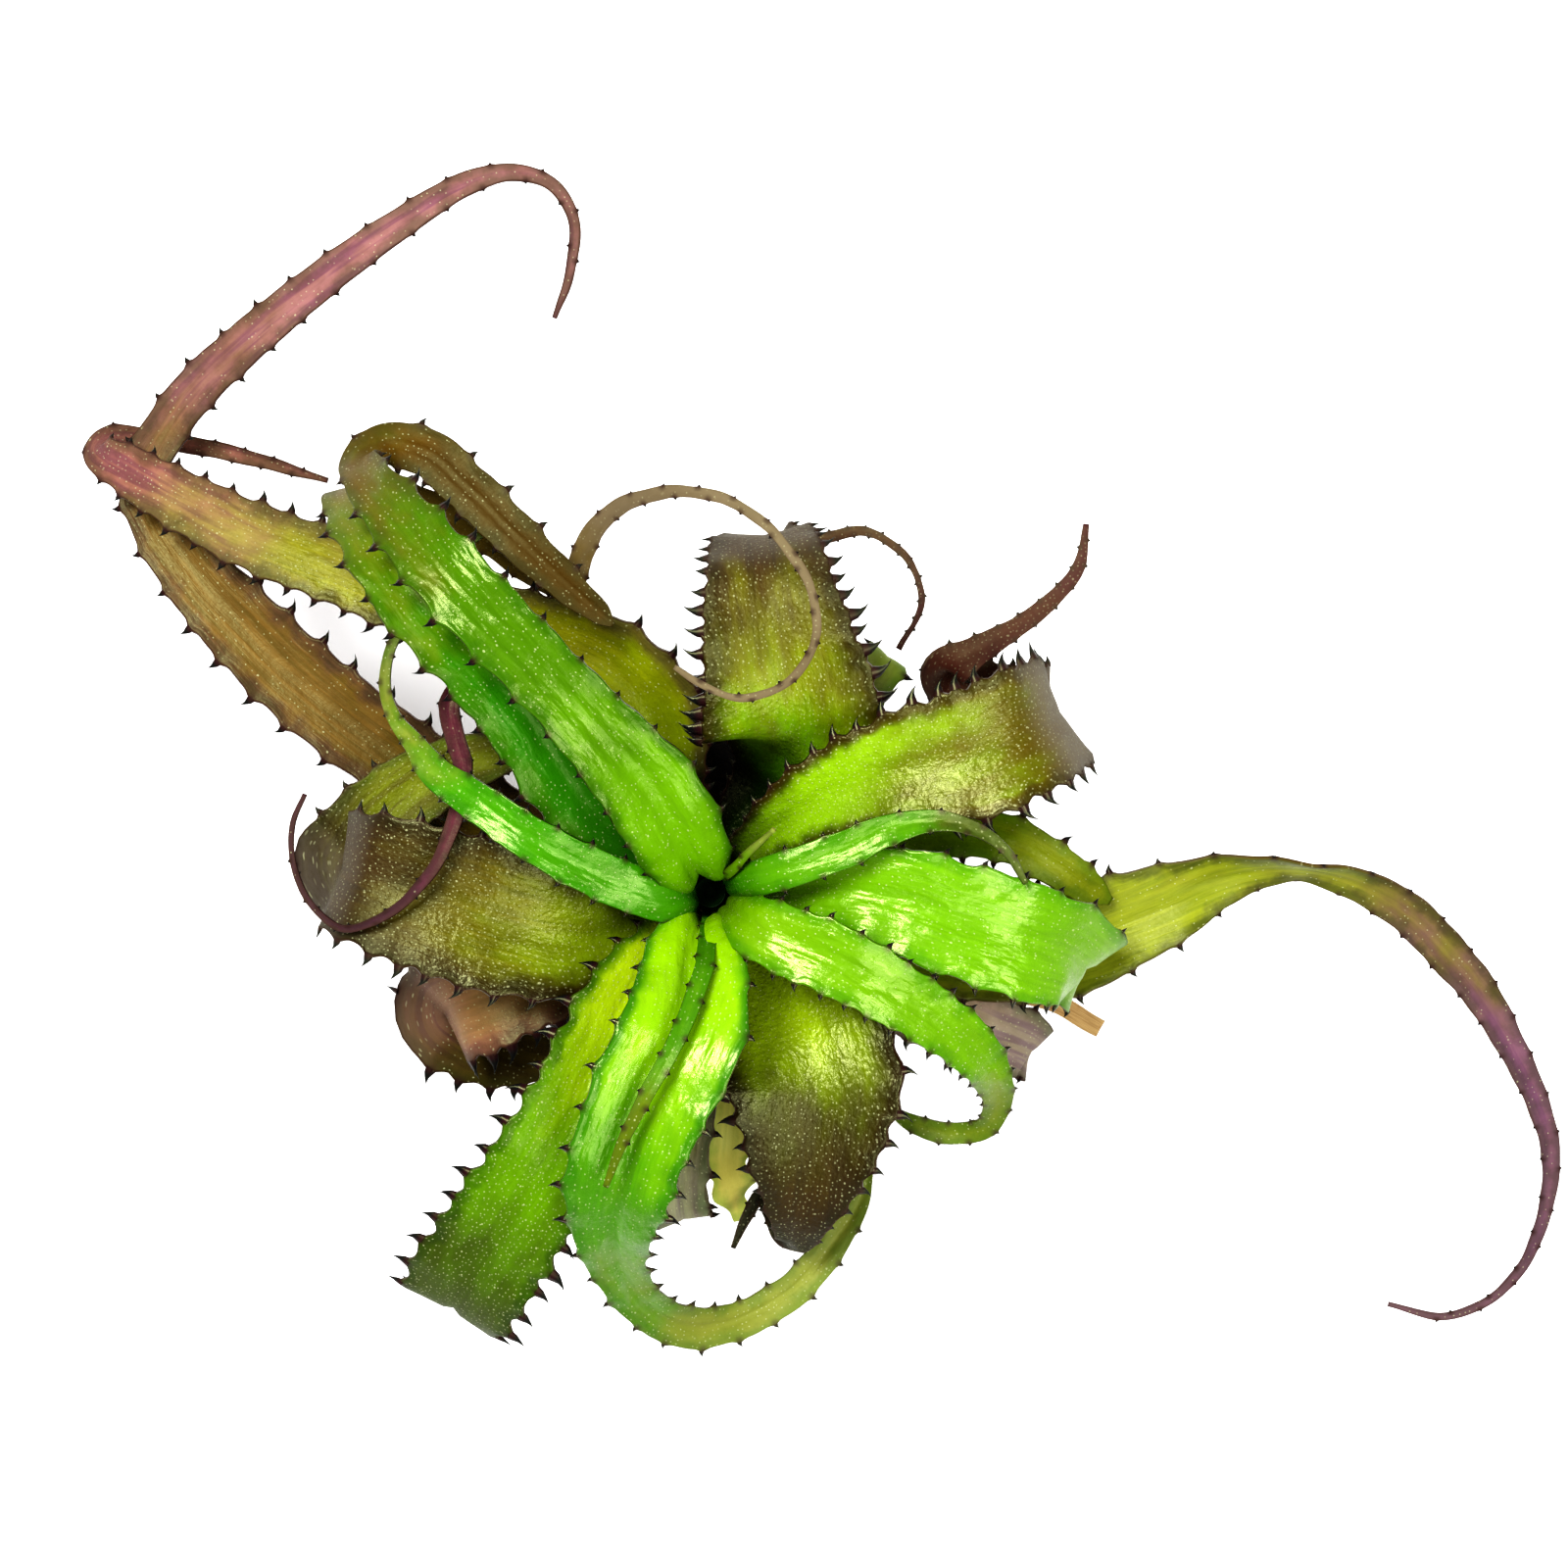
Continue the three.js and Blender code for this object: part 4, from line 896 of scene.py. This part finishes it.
def spine_places(leaf, trace, draw):
    """(length, side, reach, lean) of each spine of a leaf."""
    spined = []
    at = BARE_BASE
    while at < trace.length - leaf.pitch * 0.8:
        spined.append(at)
        at += leaf.pitch * (0.9 + 0.2 * draw())
    places = []
    for row in spined:
        for side in (1, -1):
            length = row + side * leaf.pitch * PAIR_STAGGER
            share = trace.at(length)[4] / trace.widest
            size = max(0.8, leaf.spine * min(1.0, share + 0.1)) * min(1.0, share + 0.35)
            if leaf.late_spines:
                size *= mix(*LATE_SPINES, smooth_step(0.25, 0.6, length / trace.length))
            reach = size * (0.75 + 0.35 * draw())
            places.append((length, side, reach, reach * (0.2 + 0.25 * draw())))
    return places if leaf.spine > 0 else []


print("Spines of one leaf:", len(spine_places(LEAVES["leaf_15"], trace, make_random(1))))

# %% [markdown]
# ## The blade
# The cross-section of a blade is a channel, deep at the base and nearly flat at the tip, with a
# groove for the midrib. The young leaves swell near the base, two of them with a cleft. The
# margin waves a little and is scalloped, and at each spine a small lobe of green reaches out, so
# the spine seems to grow from the leaf. What is usual stands first, then what differs.

# %% Forms of the blades
Form = namedtuple("Form", "bow midrib wave plump cleft scallop")
USUAL_FORM = Form(bow=1.3, midrib=0.25, wave=0.25, plump=0.0, cleft=0.0, scallop=0.15)
FORMS = {
    "leaf_02": dict(bow=1.2, midrib=0.3, wave=0.1, plump=0.2),
    "leaf_03": dict(bow=0.75, midrib=0.5, wave=0.3, plump=0.5, cleft=2.2, scallop=0.28),
    "leaf_04": dict(bow=0.75, midrib=0.8, wave=0.3, plump=0.5, cleft=2.4, scallop=0.2),
    "leaf_05": dict(bow=0.9, midrib=0.35, wave=0.3, plump=0.55, scallop=0.2),
    "leaf_06": dict(midrib=0.4, wave=0.2, plump=0.8, scallop=0.12),
    "leaf_07": dict(midrib=0.3, wave=0.2, plump=0.75, scallop=0.12),
    "leaf_08": dict(bow=0.9, midrib=0.6, wave=0.4, plump=0.3, scallop=0.3),
    "leaf_09": dict(bow=0.9, midrib=0.5, wave=0.5, plump=0.2, scallop=0.3),
    "leaf_10": dict(bow=0.9, midrib=0.6, wave=0.4, plump=0.2, scallop=0.3),
    "leaf_13": dict(midrib=0.15, wave=0.5, scallop=0.2),
    "leaf_15": dict(midrib=0.15, wave=0.5),
    "leaf_23": dict(midrib=0.1, wave=0.2, scallop=1.6),
}


def form_of(name):
    return USUAL_FORM._replace(**FORMS.get(name, {}))


print("Leaves with a form of their own:", len(FORMS))

# %% [markdown]
# A point of the blade is found in two steps. Its margin first reaches out near each spine. Then
# the place across and along the leaf gives its height over the flat ribbon.

# %% A point of the blade
LOBE_REACH = 0.34
CHANNEL_AT_BASE = 0.42
CHANNEL_AT_TIP = 0.06
GROOVE_WIDTH_MM = 0.9
CLEFT_WIDTH_MM = 2.2
SCALLOP_TURN = 0.57
WAVE_TURN = 0.55
SWELL_MM = (0, 5, 12, 45)
FAR_AWAY_MM = 99.0


def margin_lobe(length, spines_on_side):
    """How far the margin reaches out at a length, and how near the next spine is, in mm."""
    lobe, nearest = 0.0, FAR_AWAY_MM
    for at, reach in spines_on_side:
        gap = abs(length - at)
        nearest = min(nearest, gap)
        spread = 0.30 * reach + 0.45
        if gap < 4 * spread:
            lobe = max(lobe, LOBE_REACH * reach * math.exp(-((gap / spread) ** 2)))
    return lobe, nearest


def blade_point(trace, form, length, q, lobe, waves):
    """A point of the blade's middle sheet, q from -1 at the right margin to 1 at the left."""
    place, along, across, face, width = trace.at(length)
    fade = (1 - length / trace.length) ** 2
    channel = width * (CHANNEL_AT_TIP + (CHANNEL_AT_BASE - CHANNEL_AT_TIP) * fade)
    scallop = form.scallop * min(1.0, width / 6) * math.sin(1.3 * waves + length * SCALLOP_TURN)
    wide = width + lobe + scallop * q**2
    rise = channel * abs(q) ** form.bow
    rise -= form.midrib * min(1.0, width / 5) * math.exp(-((q * width / GROOVE_WIDTH_MM) ** 2))
    rise += form.wave * min(1.0, width / 8) * abs(q) ** 3 * math.sin(waves + length * WAVE_TURN)
    swell = smooth_step(*SWELL_MM[:2], length) * (1 - smooth_step(*SWELL_MM[2:], length))
    rise += form.plump * width * swell * math.cos(q * math.pi / 2)
    rise -= form.cleft * swell * math.exp(-((q * width / CLEFT_WIDTH_MM) ** 2))
    return place + across * (q * wide) + face * rise, face


def wave_start(seed, side):
    """Where the waves of a margin begin, in radians: each margin has its own."""
    return seed * 1.7 + side


print("Lobe at a spine of 5 mm, in mm:", round(margin_lobe(0.0, [(0.0, 5.0)])[0], 1))

# %% [markdown]
# The blade starts as a flat grid. Each of its points is moved to its place on the leaf: so far
# along the trace, so far across. Solidify then gives the sheet its thickness, and the new
# underside is marked, because it has a colour of its own.

# %% Laying a grid along a leaf
ROW_STEP_MM = 0.7
COLUMNS = 14
COLUMN_CROWDING = 1.45
LOBE_SIGHT_MM = 9.0
LOBE_START = 0.4
THORN_SHADE_MM = 1.5
THORN_SHADE = 0.45
STEEP_FROM = 0.35
STEEP_FULL = 0.95
THROWN_OFF = 1.6


def lay_blade(bm, layers, measure, leaf, trace, form, spines, seed):
    """Adds a leaf's blade to a bmesh, with its measures for the skin."""
    rows = max(12, round(trace.length / ROW_STEP_MM))
    grid = bmesh.ops.create_grid(bm, x_segments=COLUMNS, y_segments=rows, size=1)["verts"]
    faces = list({face for vert in grid for face in vert.link_faces})
    by_side = {
        side: sorted((at, reach) for at, s, reach, _ in spines if s == side) for side in (1, -1)
    }
    lobes = {}
    for vert in grid:
        length = (vert.co.y + 1) / 2 * trace.length
        spot = abs(vert.co.x)
        side = -1 if vert.co.x > 0 else 1
        q = side * (1 - (1 - spot) ** COLUMN_CROWDING)
        key = (round(length, 3), side)
        if key not in lobes:
            near = [s for s in by_side[side] if abs(s[0] - length) < LOBE_SIGHT_MM]
            lobes[key] = margin_lobe(length, near)
        lobe, nearest = lobes[key]
        reach_in = max(0.0, abs(q) - LOBE_START) / (1 - LOBE_START)
        lobe *= reach_in**2
        point, face = blade_point(trace, form, length, q, lobe, wave_start(seed, side))
        width = trace.at(length)[4]
        edge = (1 - abs(q)) * width
        vert.co = point + face * (BLADE_MM / 2)
        vert[layers["along"]] = length / trace.length
        vert[layers["edge_mm"]] = edge
        shade = 1 - min(1.0, math.hypot(edge, nearest) / THORN_SHADE_MM)
        vert[layers["thorn"]] = THORN_SHADE * shade if leaf.spine > 0 else 0
        steep = smooth_step(STEEP_FROM, STEEP_FULL, -trace.at(length)[1].z)
        vert[layers["steep"]] = steep * smooth_step(0, 8, width)
        vert[measure] = Vector((q * width, length, seed * 10))
    bm.normal_update()
    middle = min(faces, key=lambda f: (f.calc_center_median() - trace.at(20)[0]).length)
    if middle.normal.dot(trace.at(20)[3]) < 0:
        bmesh.ops.reverse_faces(bm, faces=faces)
        bm.normal_update()
    upper = {tuple(vert[measure]): vert.co.copy() for vert in grid}
    # The measures are equal on both sides, so they tell which upper point a lower one is under.
    for part in bmesh.ops.solidify(bm, geom=faces, thickness=BLADE_MM)["geom"]:
        if isinstance(part, bmesh.types.BMVert):
            part[layers["under"]] = 1.0
            # In a sharp fold solidify can throw a point far off. It is set back to its twin.
            twin = upper[tuple(part[measure])]
            if (part.co - twin).length > THROWN_OFF * BLADE_MM:
                part.co = twin - trace.at(part[measure].y)[3] * BLADE_MM


print("Blade builder ready, columns:", COLUMNS)

# %% [markdown]
# ## The spines
# A spine is a flat hooked cone. A plain cone can't bend, so each one starts as a small ring
# that is sunk into the margin and extruded in a few steps, each ring smaller and further towards
# the leaf's tip, until the last is drawn together into a point. Few faces are enough, because
# there are almost nine hundred spines.

# %% Growing one spine
SPINE_SIDES = 6
SPINE_RINGS = ((0.22, 0.72), (0.45, 0.44), (0.72, 0.21), (1.0, 0.03))


def grow_spine(bm, layers, measure, root, out, along, face, reach, lean, mark):
    """root is on the margin; the spine reaches out and leans along the leaf."""
    # Half width and half thickness of the foot, and how far it is sunk in, grow with the reach.
    half_foot = 0.36 * reach + 0.3
    flat = 0.13 * reach + 0.22
    ring = bmesh.ops.create_circle(bm, segments=SPINE_SIDES, radius=1, cap_ends=False)["verts"]
    start = root - out * (0.35 + 0.1 * reach)
    unit = {v: v.co.copy() for v in ring}

    def settle(verts, shape, centre, size, share):
        for vert in verts:
            offset = shape[vert]
            vert.co = centre + along * (offset.x * half_foot * size)
            vert.co += face * (offset.y * flat * size)
            vert[layers["along"]] = mark[0]
            vert[layers["thorn"]] = min(1.0, 0.35 + share * 1.8)
            vert[measure] = mark[1]

    settle(ring, unit, start, 1.0, 0.0)
    edges = {e for v in ring for e in v.link_edges}
    for share, size in SPINE_RINGS:
        made = bmesh.ops.extrude_edge_only(bm, edges=list(edges))["geom"]
        new_ring = [part for part in made if isinstance(part, bmesh.types.BMVert)]
        edges = {p for p in made if isinstance(p, bmesh.types.BMEdge)}
        edges = {e for e in edges if all(v in new_ring for v in e.verts)}
        # Each new point hangs on an old one and takes over its place in the ring.
        shape = {}
        for vert in new_ring:
            old = next(e.other_vert(vert) for e in vert.link_edges if e not in edges)
            shape[vert] = unit[old]
        unit = shape
        centre = root + out * (reach * share) + along * (lean * share**2.2)
        settle(new_ring, shape, centre, size, share)
    bmesh.ops.pointmerge(bm, verts=new_ring, merge_co=centre)


print("Rings of a spine:", len(SPINE_RINGS))

# %% [markdown]
# Now every living leaf is built from its way, its form and its skin, and stands for its solid.
# Its spines come first, and their normals are turned outwards at once. The blade is laid after
# them and turned by its own direction, because an open sheet has no inside.

# %% All living leaves
FIRST_SEED = 11
SEED_STEP = 17


def grow_leaf(name, leaf, seed):
    """The bmesh of a leaf in mm, its trace, and how many spines it has."""
    trace = Trace(leaf)
    draw = make_random(FIRST_SEED + SEED_STEP * seed)
    spines = spine_places(leaf, trace, draw)
    form = form_of(name)
    bm = bmesh.new()
    layers = {
        label: bm.verts.layers.float.new(label)
        for label in ("along", "edge_mm", "thorn", "steep", "under")
    }
    measure = bm.verts.layers.float_vector.new("blade_mm")
    for length, side, reach, lean in spines:
        lobe, _ = margin_lobe(length, [(length, reach)])
        root, face = blade_point(trace, form, length, side, lobe, wave_start(seed, side))
        _, along, across, _, width = trace.at(length)
        mark = (length / trace.length, Vector((side * width, length, seed * 10)))
        grow_spine(
            bm, layers, measure, root, across * side, along, face,
            max(0.5, reach - lobe), lean, mark,
        )
    bmesh.ops.recalc_face_normals(bm, faces=bm.faces)
    lay_blade(bm, layers, measure, leaf, trace, form, spines, seed)
    return bm, trace, len(spines)


leaf_count, spine_count, triangle_count = 0, 0, 0
for seed, (name, leaf) in enumerate(LEAVES.items()):
    if name not in SKINS:
        continue
    bm, trace, spines = grow_leaf(name, leaf, seed)
    triangle_count += sum(len(f.verts) - 2 for f in bm.faces)
    place_piece(name + "_blade", bm, SKINS[name], node=name)
    leaf_count += 1
    spine_count += spines
print("Leaves:", leaf_count, "spines:", spine_count, "triangles:", triangle_count)

# %% [markdown]
# ## The dried leaf
# One dead leaf sticks out between the green ones. It has no spines left, is tan and fibrous, and
# was cut off square. The living skin has too much colour for it, so the same blade builder makes
# it with a papery finish of its own.

# %% Papery finish and the dried leaf
dry_material, net, shader = new_material("dried_leaf_paper", Specular_IOR_Level=0.3)
blade_mm = net.attribute("blade_mm", "Vector")
fibre = net.noise(blade_mm, (2.2, 0.08, 1.0), 4.0, 0.65)
spot = net.noise(blade_mm, (0.3, 0.18, 1.0), 3.0, 0.5)
colour = net.blend(net.ramp(fibre, 0.3, 0.7), tint(0xB69A66), tint(0x8A6C42))
colour = net.blend(net.ramp(spot, 0.55, 0.72), colour, tint(0x6A4424))
dress(net, shader, colour, net.ramp(fibre, 0.2, 0.8, 0.65, 0.85), fibre, 0.6, depth_mm=0.3)

bm, trace, _ = grow_leaf("dry_leaf", LEAVES["dry_leaf"], len(LEAVES) - 1)
place_piece("dry_leaf_blade", bm, dry_material, node="dry_leaf")
print("Dried leaf, length in mm:", round(trace.length))

# %% [markdown]
# ## The stem
# The leaves sit on a short stem that is hidden in the rosette. Old leaf bases leave rings on it.
# They could be sculpted or be a stack of discs, but a turned profile with small steps gives them
# in one piece, spun round the axis. Its top sinks into a small pit, which keeps the heart of the
# rosette open and dark.

# %% Stem with leaf scars
SCAR_STEP_MM = 3.2
SPIN_STEPS = 48


def spin_profile(profile, steps):
    """A turned piece of (radius, height) pairs in mm, from the axis at the bottom to the top."""
    bm = bmesh.new()
    verts = [bm.verts.new((r, 0, z)) for r, z in profile]
    edges = [bm.edges.new(pair) for pair in zip(verts, verts[1:])]
    bmesh.ops.spin(
        bm, geom=verts + edges, cent=(0, 0, 0), axis=(0, 0, 1), angle=2 * math.pi,
        steps=steps, use_merge=True,
    )
    bmesh.ops.remove_doubles(bm, verts=bm.verts, dist=0.001)
    bmesh.ops.recalc_face_normals(bm, faces=bm.faces)
    return bm


profile = [(0.0, STEM_FOOT_Z), (STEM_RADIUS * 0.96, STEM_FOOT_Z)]
z = STEM_FOOT_Z + 0.5
while z < STEM_NECK_Z:
    profile += [(stem_radius(z), z), (stem_radius(z) * 0.93, z + 0.5)]
    profile.append((stem_radius(z + SCAR_STEP_MM) * 0.96, z + SCAR_STEP_MM - 0.4))
    z += SCAR_STEP_MM
profile += [(STEM_NECK_RADIUS * 0.8, STEM_NECK_Z + 0.6), (2.4, STEM_NECK_Z - 1.5)]
profile += [(1.4, STEM_NECK_Z - 5), (0.0, STEM_NECK_Z - 6)]
bm = spin_profile(profile, SPIN_STEPS)

stem_material, net, shader = new_material("scarred_stem", Specular_IOR_Level=0.35)
place, height = net.place()
grain = net.noise(place, 900.0, 4.0, 0.6)
colour = net.blend(net.ramp(grain, 0.35, 0.65), tint(0x6A5A34), tint(0x4A3A22))
# Near its top the stem is dark green: partly the green of its young top, partly painted shade in
# the heart of the rosette.
top_green_and_shade = net.blend(net.ramp(grain, 0.3, 0.7), tint(0x1E4A10), tint(0x0E2A0A))
colour = net.blend(net.ramp(height, 0.080, 0.090), colour, top_green_and_shade)
dress(net, shader, colour, net.ramp(grain, 0.2, 0.8, 0.55, 0.75), grain, 0.5, depth_mm=0.3)
place_piece("leaf_scarred_stem", bm, stem_material, node="stem")
print("Stem rings:", int((STEM_NECK_Z - STEM_FOOT_Z) / SCAR_STEP_MM))

# %% [markdown]
# ## The pot
# The pot is a plain black nursery pot: a thin tapered wall, a folded rim that stands out a
# little, and holes in the foot. A cylinder with a solidify modifier would do for the wall, but
# one spun profile also gives the rim and the rounded corners. The holes are cut with a Boolean,
# which is then applied, so that only the finished pot is left.

# %% Nursery pot
POT_HEIGHT = 66.0
POT_TOP_RADIUS = 43.0
POT_FOOT_RADIUS = 31.0
POT_WALL = 1.4
POT_FLOOR = 2.0
POT_CORNER = 0.9
RIM_WIDTH = 2.2
RIM_DEPTH = 6.0
DRAIN_HOLE_RADIUS = 4.0
DRAIN_HOLE_CIRCLE = 21.0
DRAIN_HOLES = 5
POT_STEPS = 96


def pot_outer(z):
    return mix(POT_FOOT_RADIUS, POT_TOP_RADIUS, z / POT_HEIGHT)


def rounded(points, radius, steps=3):
    """Rounds the corners of a profile: each corner becomes a short curve."""
    smooth = [points[0]]
    for before, corner, after in zip(points, points[1:], points[2:]):
        a, c, b = Vector(before), Vector(corner), Vector(after)
        cut = min(radius, (a - c).length * 0.45, (b - c).length * 0.45)
        start = c + (a - c).normalized() * cut
        end = c + (b - c).normalized() * cut
        for i in range(steps + 1):
            t = i / steps
            smooth.append(tuple(start * (1 - t) ** 2 + c * (2 * t * (1 - t)) + end * t * t))
    return smooth + [points[-1]]


rim_out = POT_TOP_RADIUS + RIM_WIDTH
rim_foot = POT_HEIGHT - RIM_DEPTH
corners = [
    (0.0, 0.0), (POT_FOOT_RADIUS, 0.0), (pot_outer(rim_foot), rim_foot), (rim_out, rim_foot),
    (rim_out, POT_HEIGHT), (pot_outer(POT_HEIGHT) - POT_WALL, POT_HEIGHT),
    (pot_outer(POT_FLOOR) - POT_WALL, POT_FLOOR), (0.0, POT_FLOOR),
]
profile = rounded(corners, POT_CORNER)
pot_blank = make_object("pot_blank", spin_profile(profile, POT_STEPS))

drill_bm = bmesh.new()
for i in range(DRAIN_HOLES):
    angle = i / DRAIN_HOLES * 2 * math.pi
    spot = (DRAIN_HOLE_CIRCLE * math.cos(angle), DRAIN_HOLE_CIRCLE * math.sin(angle), 0)
    bmesh.ops.create_cone(
        drill_bm, cap_ends=True, segments=24, radius1=DRAIN_HOLE_RADIUS,
        radius2=DRAIN_HOLE_RADIUS, depth=10, matrix=Matrix.Translation(spot),
    )
drill = make_object("pot_drill", drill_bm)
cut = pot_blank.modifiers.new("drain_holes", "BOOLEAN")
cut.operation = "DIFFERENCE"
cut.object = drill
bpy.context.view_layer.update()
drilled = pot_blank.evaluated_get(bpy.context.evaluated_depsgraph_get()).to_mesh()
bm = bmesh.new()
bm.from_mesh(drilled)
for leftover in (pot_blank, drill):
    bpy.data.objects.remove(leftover)
print("Pot faces:", len(bm.faces))

# %% [markdown]
# Black nursery plastic is never quite black. It has a fine moulded grain, dusty patches that run
# down its wall, small dried splashes of hard water, and a paler, scuffed rim.

# %% Pot plastic
pot_material, net, shader = new_material("nursery_pot_plastic", Specular_IOR_Level=0.45)
place, height = net.place()
grain = net.noise(place, 2600.0, 2.0, 0.5)
dirt = net.noise(place, (60, 60, 22), 5.0, 0.65)
speck = net.noise(place, 420.0, 3.0, 0.6)
colour = net.blend(net.ramp(dirt, 0.5, 0.75), tint(0x1B1D1F), tint(0x35332F))
lime = net.times(net.ramp(speck, 0.62, 0.7), net.ramp(dirt, 0.4, 0.6), 0.45)
colour = net.blend(lime, colour, tint(0x8C8A84))
scuff = net.times(net.ramp(height, 0.0645, 0.066), net.ramp(dirt, 0.35, 0.6), 0.5)
colour = net.blend(scuff, colour, tint(0x5A5A58))
dress(net, shader, colour, net.ramp(dirt, 0.3, 0.8, 0.42, 0.7), grain, 0.35, depth_mm=0.1)
place_piece("nursery_pot", bm, pot_material, node="pot", smooth=False)
print("Pot plastic done")

# %% [markdown]
# ## The potting mix
# Bromeliads grow in a coarse dark mix of bark. A bump on a flat disc would look right from
# above but not from the side, so the bed is a spun plug with a lumpy top, and more than two
# hundred loose chips lie on it. Each chip is a cube with shaken corners and bevelled edges,
# turned at random. They are small and dark, so 26 faces each are plenty.

# %% Bed and bark chips
CHIPS = 230
CHIP_SIZES_MM = (2.2, 5.5)
CHIP_SHAKE = 0.11
CHIP_BEVEL = 0.07
MIX_TOP_LUMPS = 0.5
BED_STEPS = 72
chip_draw = random.Random(7)

bed_top = pot_outer(MIX_LEVEL - 1) - POT_WALL - 2 * CLEARANCE
bed_foot = pot_outer(POT_FLOOR) - POT_WALL - 2 * CLEARANCE
rings = [(bed_top * (0.92 - 0.08 * i), MIX_LEVEL) for i in range(10)]
profile = [(0.0, POT_FLOOR + CLEARANCE), (bed_foot, POT_FLOOR + CLEARANCE)]
profile += [(bed_top, MIX_LEVEL - 1.2)] + rings + [(0.0, MIX_LEVEL)]
bed_bm = spin_profile(profile, BED_STEPS)
for vert in bed_bm.verts:
    if vert.co.z > MIX_LEVEL - 0.5:
        vert.co.z += chip_draw.uniform(-MIX_TOP_LUMPS, MIX_TOP_LUMPS)

chips_bm = bmesh.new()
for i in range(CHIPS):
    angle = chip_draw.uniform(0, 2 * math.pi)
    radius = math.sqrt(chip_draw.uniform(0.045, 0.80)) * bed_top
    size = chip_draw.uniform(*CHIP_SIZES_MM)
    spot = Vector((radius * math.cos(angle), radius * math.sin(angle), MIX_LEVEL + 0.15 * size))
    turn = Matrix.Rotation(chip_draw.uniform(0, 6.3), 4, "Z")
    turn @= Matrix.Rotation(chip_draw.uniform(-0.5, 0.5), 4, "X")
    shape = Matrix.Diagonal((size, size * chip_draw.uniform(0.45, 0.8), size * 0.32, 1))
    chip = bmesh.ops.create_cube(chips_bm, size=1, matrix=Matrix.Translation(spot) @ turn @ shape)
    for vert in chip["verts"]:
        shake = [chip_draw.uniform(-CHIP_SHAKE, CHIP_SHAKE) * size for _ in range(3)]
        vert.co += Vector(shake)
    chip_edges = list({e for v in chip["verts"] for e in v.link_edges})
    bmesh.ops.bevel(
        chips_bm, geom=chip_edges, offset=size * CHIP_BEVEL, segments=1, profile=0.5,
        affect="EDGES", material=-1,
    )


def bark_material(name, dark, light):
    material, net, shader = new_material(name, Specular_IOR_Level=0.3)
    place, _ = net.place()
    lump = net.noise(place, 240.0, 4.0, 0.6)
    fibre = net.noise(place, (300, 900, 900), 4.0, 0.7)
    colour = net.blend(net.ramp(lump, 0.35, 0.7), tint(dark), tint(light))
    colour = net.blend(net.ramp(fibre, 0.45, 0.7), colour, tint(dark))
    dress(net, shader, colour, net.ramp(fibre, 0.2, 0.8, 0.7, 0.95), fibre, 0.7, depth_mm=0.5)
    return material


damp_mix = bark_material("damp_mix", 0x0C0B0A, 0x1E1812)
place_piece("potting_mix_bed", bed_bm, damp_mix, node="potting_mix")
bark = bark_material("bark", 0x120E0B, 0x33241A)
place_piece("bark_chips", chips_bm, bark, smooth=False)
print("Bark chips:", CHIPS)

# %% [markdown]
# ## The floor
# The photograph has a burnt-out white ground, so a plain pale plane lies under the pot. It is far
# wider than the plant, so that no edge of it shows from above.

# %% Floor
FLOOR_SIZE = 6.0
floor_bm = bmesh.new()
bmesh.ops.create_grid(floor_bm, x_segments=1, y_segments=1, size=FLOOR_SIZE)
floor = make_object("pale_floor", floor_bm)
floor_paint, _, _ = new_material(
    "pale_floor_paint", Specular_IOR_Level=0.2, Base_Color=(0.93, 0.93, 0.93, 1), Roughness=0.9
)
floor.data.materials.append(floor_paint)
print("Floor size in metres:", 2 * FLOOR_SIZE)

# %% [markdown]
# ## The light
# The plant stands in soft daylight. A picture of a sky would bring its own colours, so an even
# white sky fills the shadows. A strong lamp over the plant's upper left gives the long glare on
# the blades, and two weaker ones opposite keep the other side from going flat. The High Contrast
# look deepens the gaps between the leaves, as in the photograph.

# %% Light
SKY_STRENGTH = 0.32
LAMPS_AIM = (0.0, 0.0, 0.1)

world = bpy.data.worlds.new("soft_sky")
bpy.context.scene.world = world
world.use_nodes = True
sky = world.node_tree.nodes["Background"].inputs
sky["Color"].default_value = (1, 1, 1, 1)
sky["Strength"].default_value = SKY_STRENGTH


def hang_lamp(name, place, size, watts):
    """A soft square lamp that looks at the rosette."""
    light = bpy.data.lights.new(name, "AREA")
    light.shape = "SQUARE"
    light.size = size
    light.energy = watts
    lamp = bpy.data.objects.new(name, light)
    lamp.location = place
    outwards = Vector(place) - Vector(LAMPS_AIM)
    lamp.rotation_euler = outwards.to_track_quat("Z", "Y").to_euler()
    bpy.context.scene.collection.objects.link(lamp)


hang_lamp("window_lamp", (-0.45, 0.55, 1.5), 0.6, 34)
hang_lamp("fill_lamp", (0.8, -0.3, 1.4), 0.6, 12)
hang_lamp("side_lamp", (0.3, -0.9, 1.3), 0.8, 10)
bpy.context.scene.view_settings.view_transform = "Standard"
bpy.context.scene.view_settings.look = "High Contrast"
print("Sky strength:", SKY_STRENGTH)
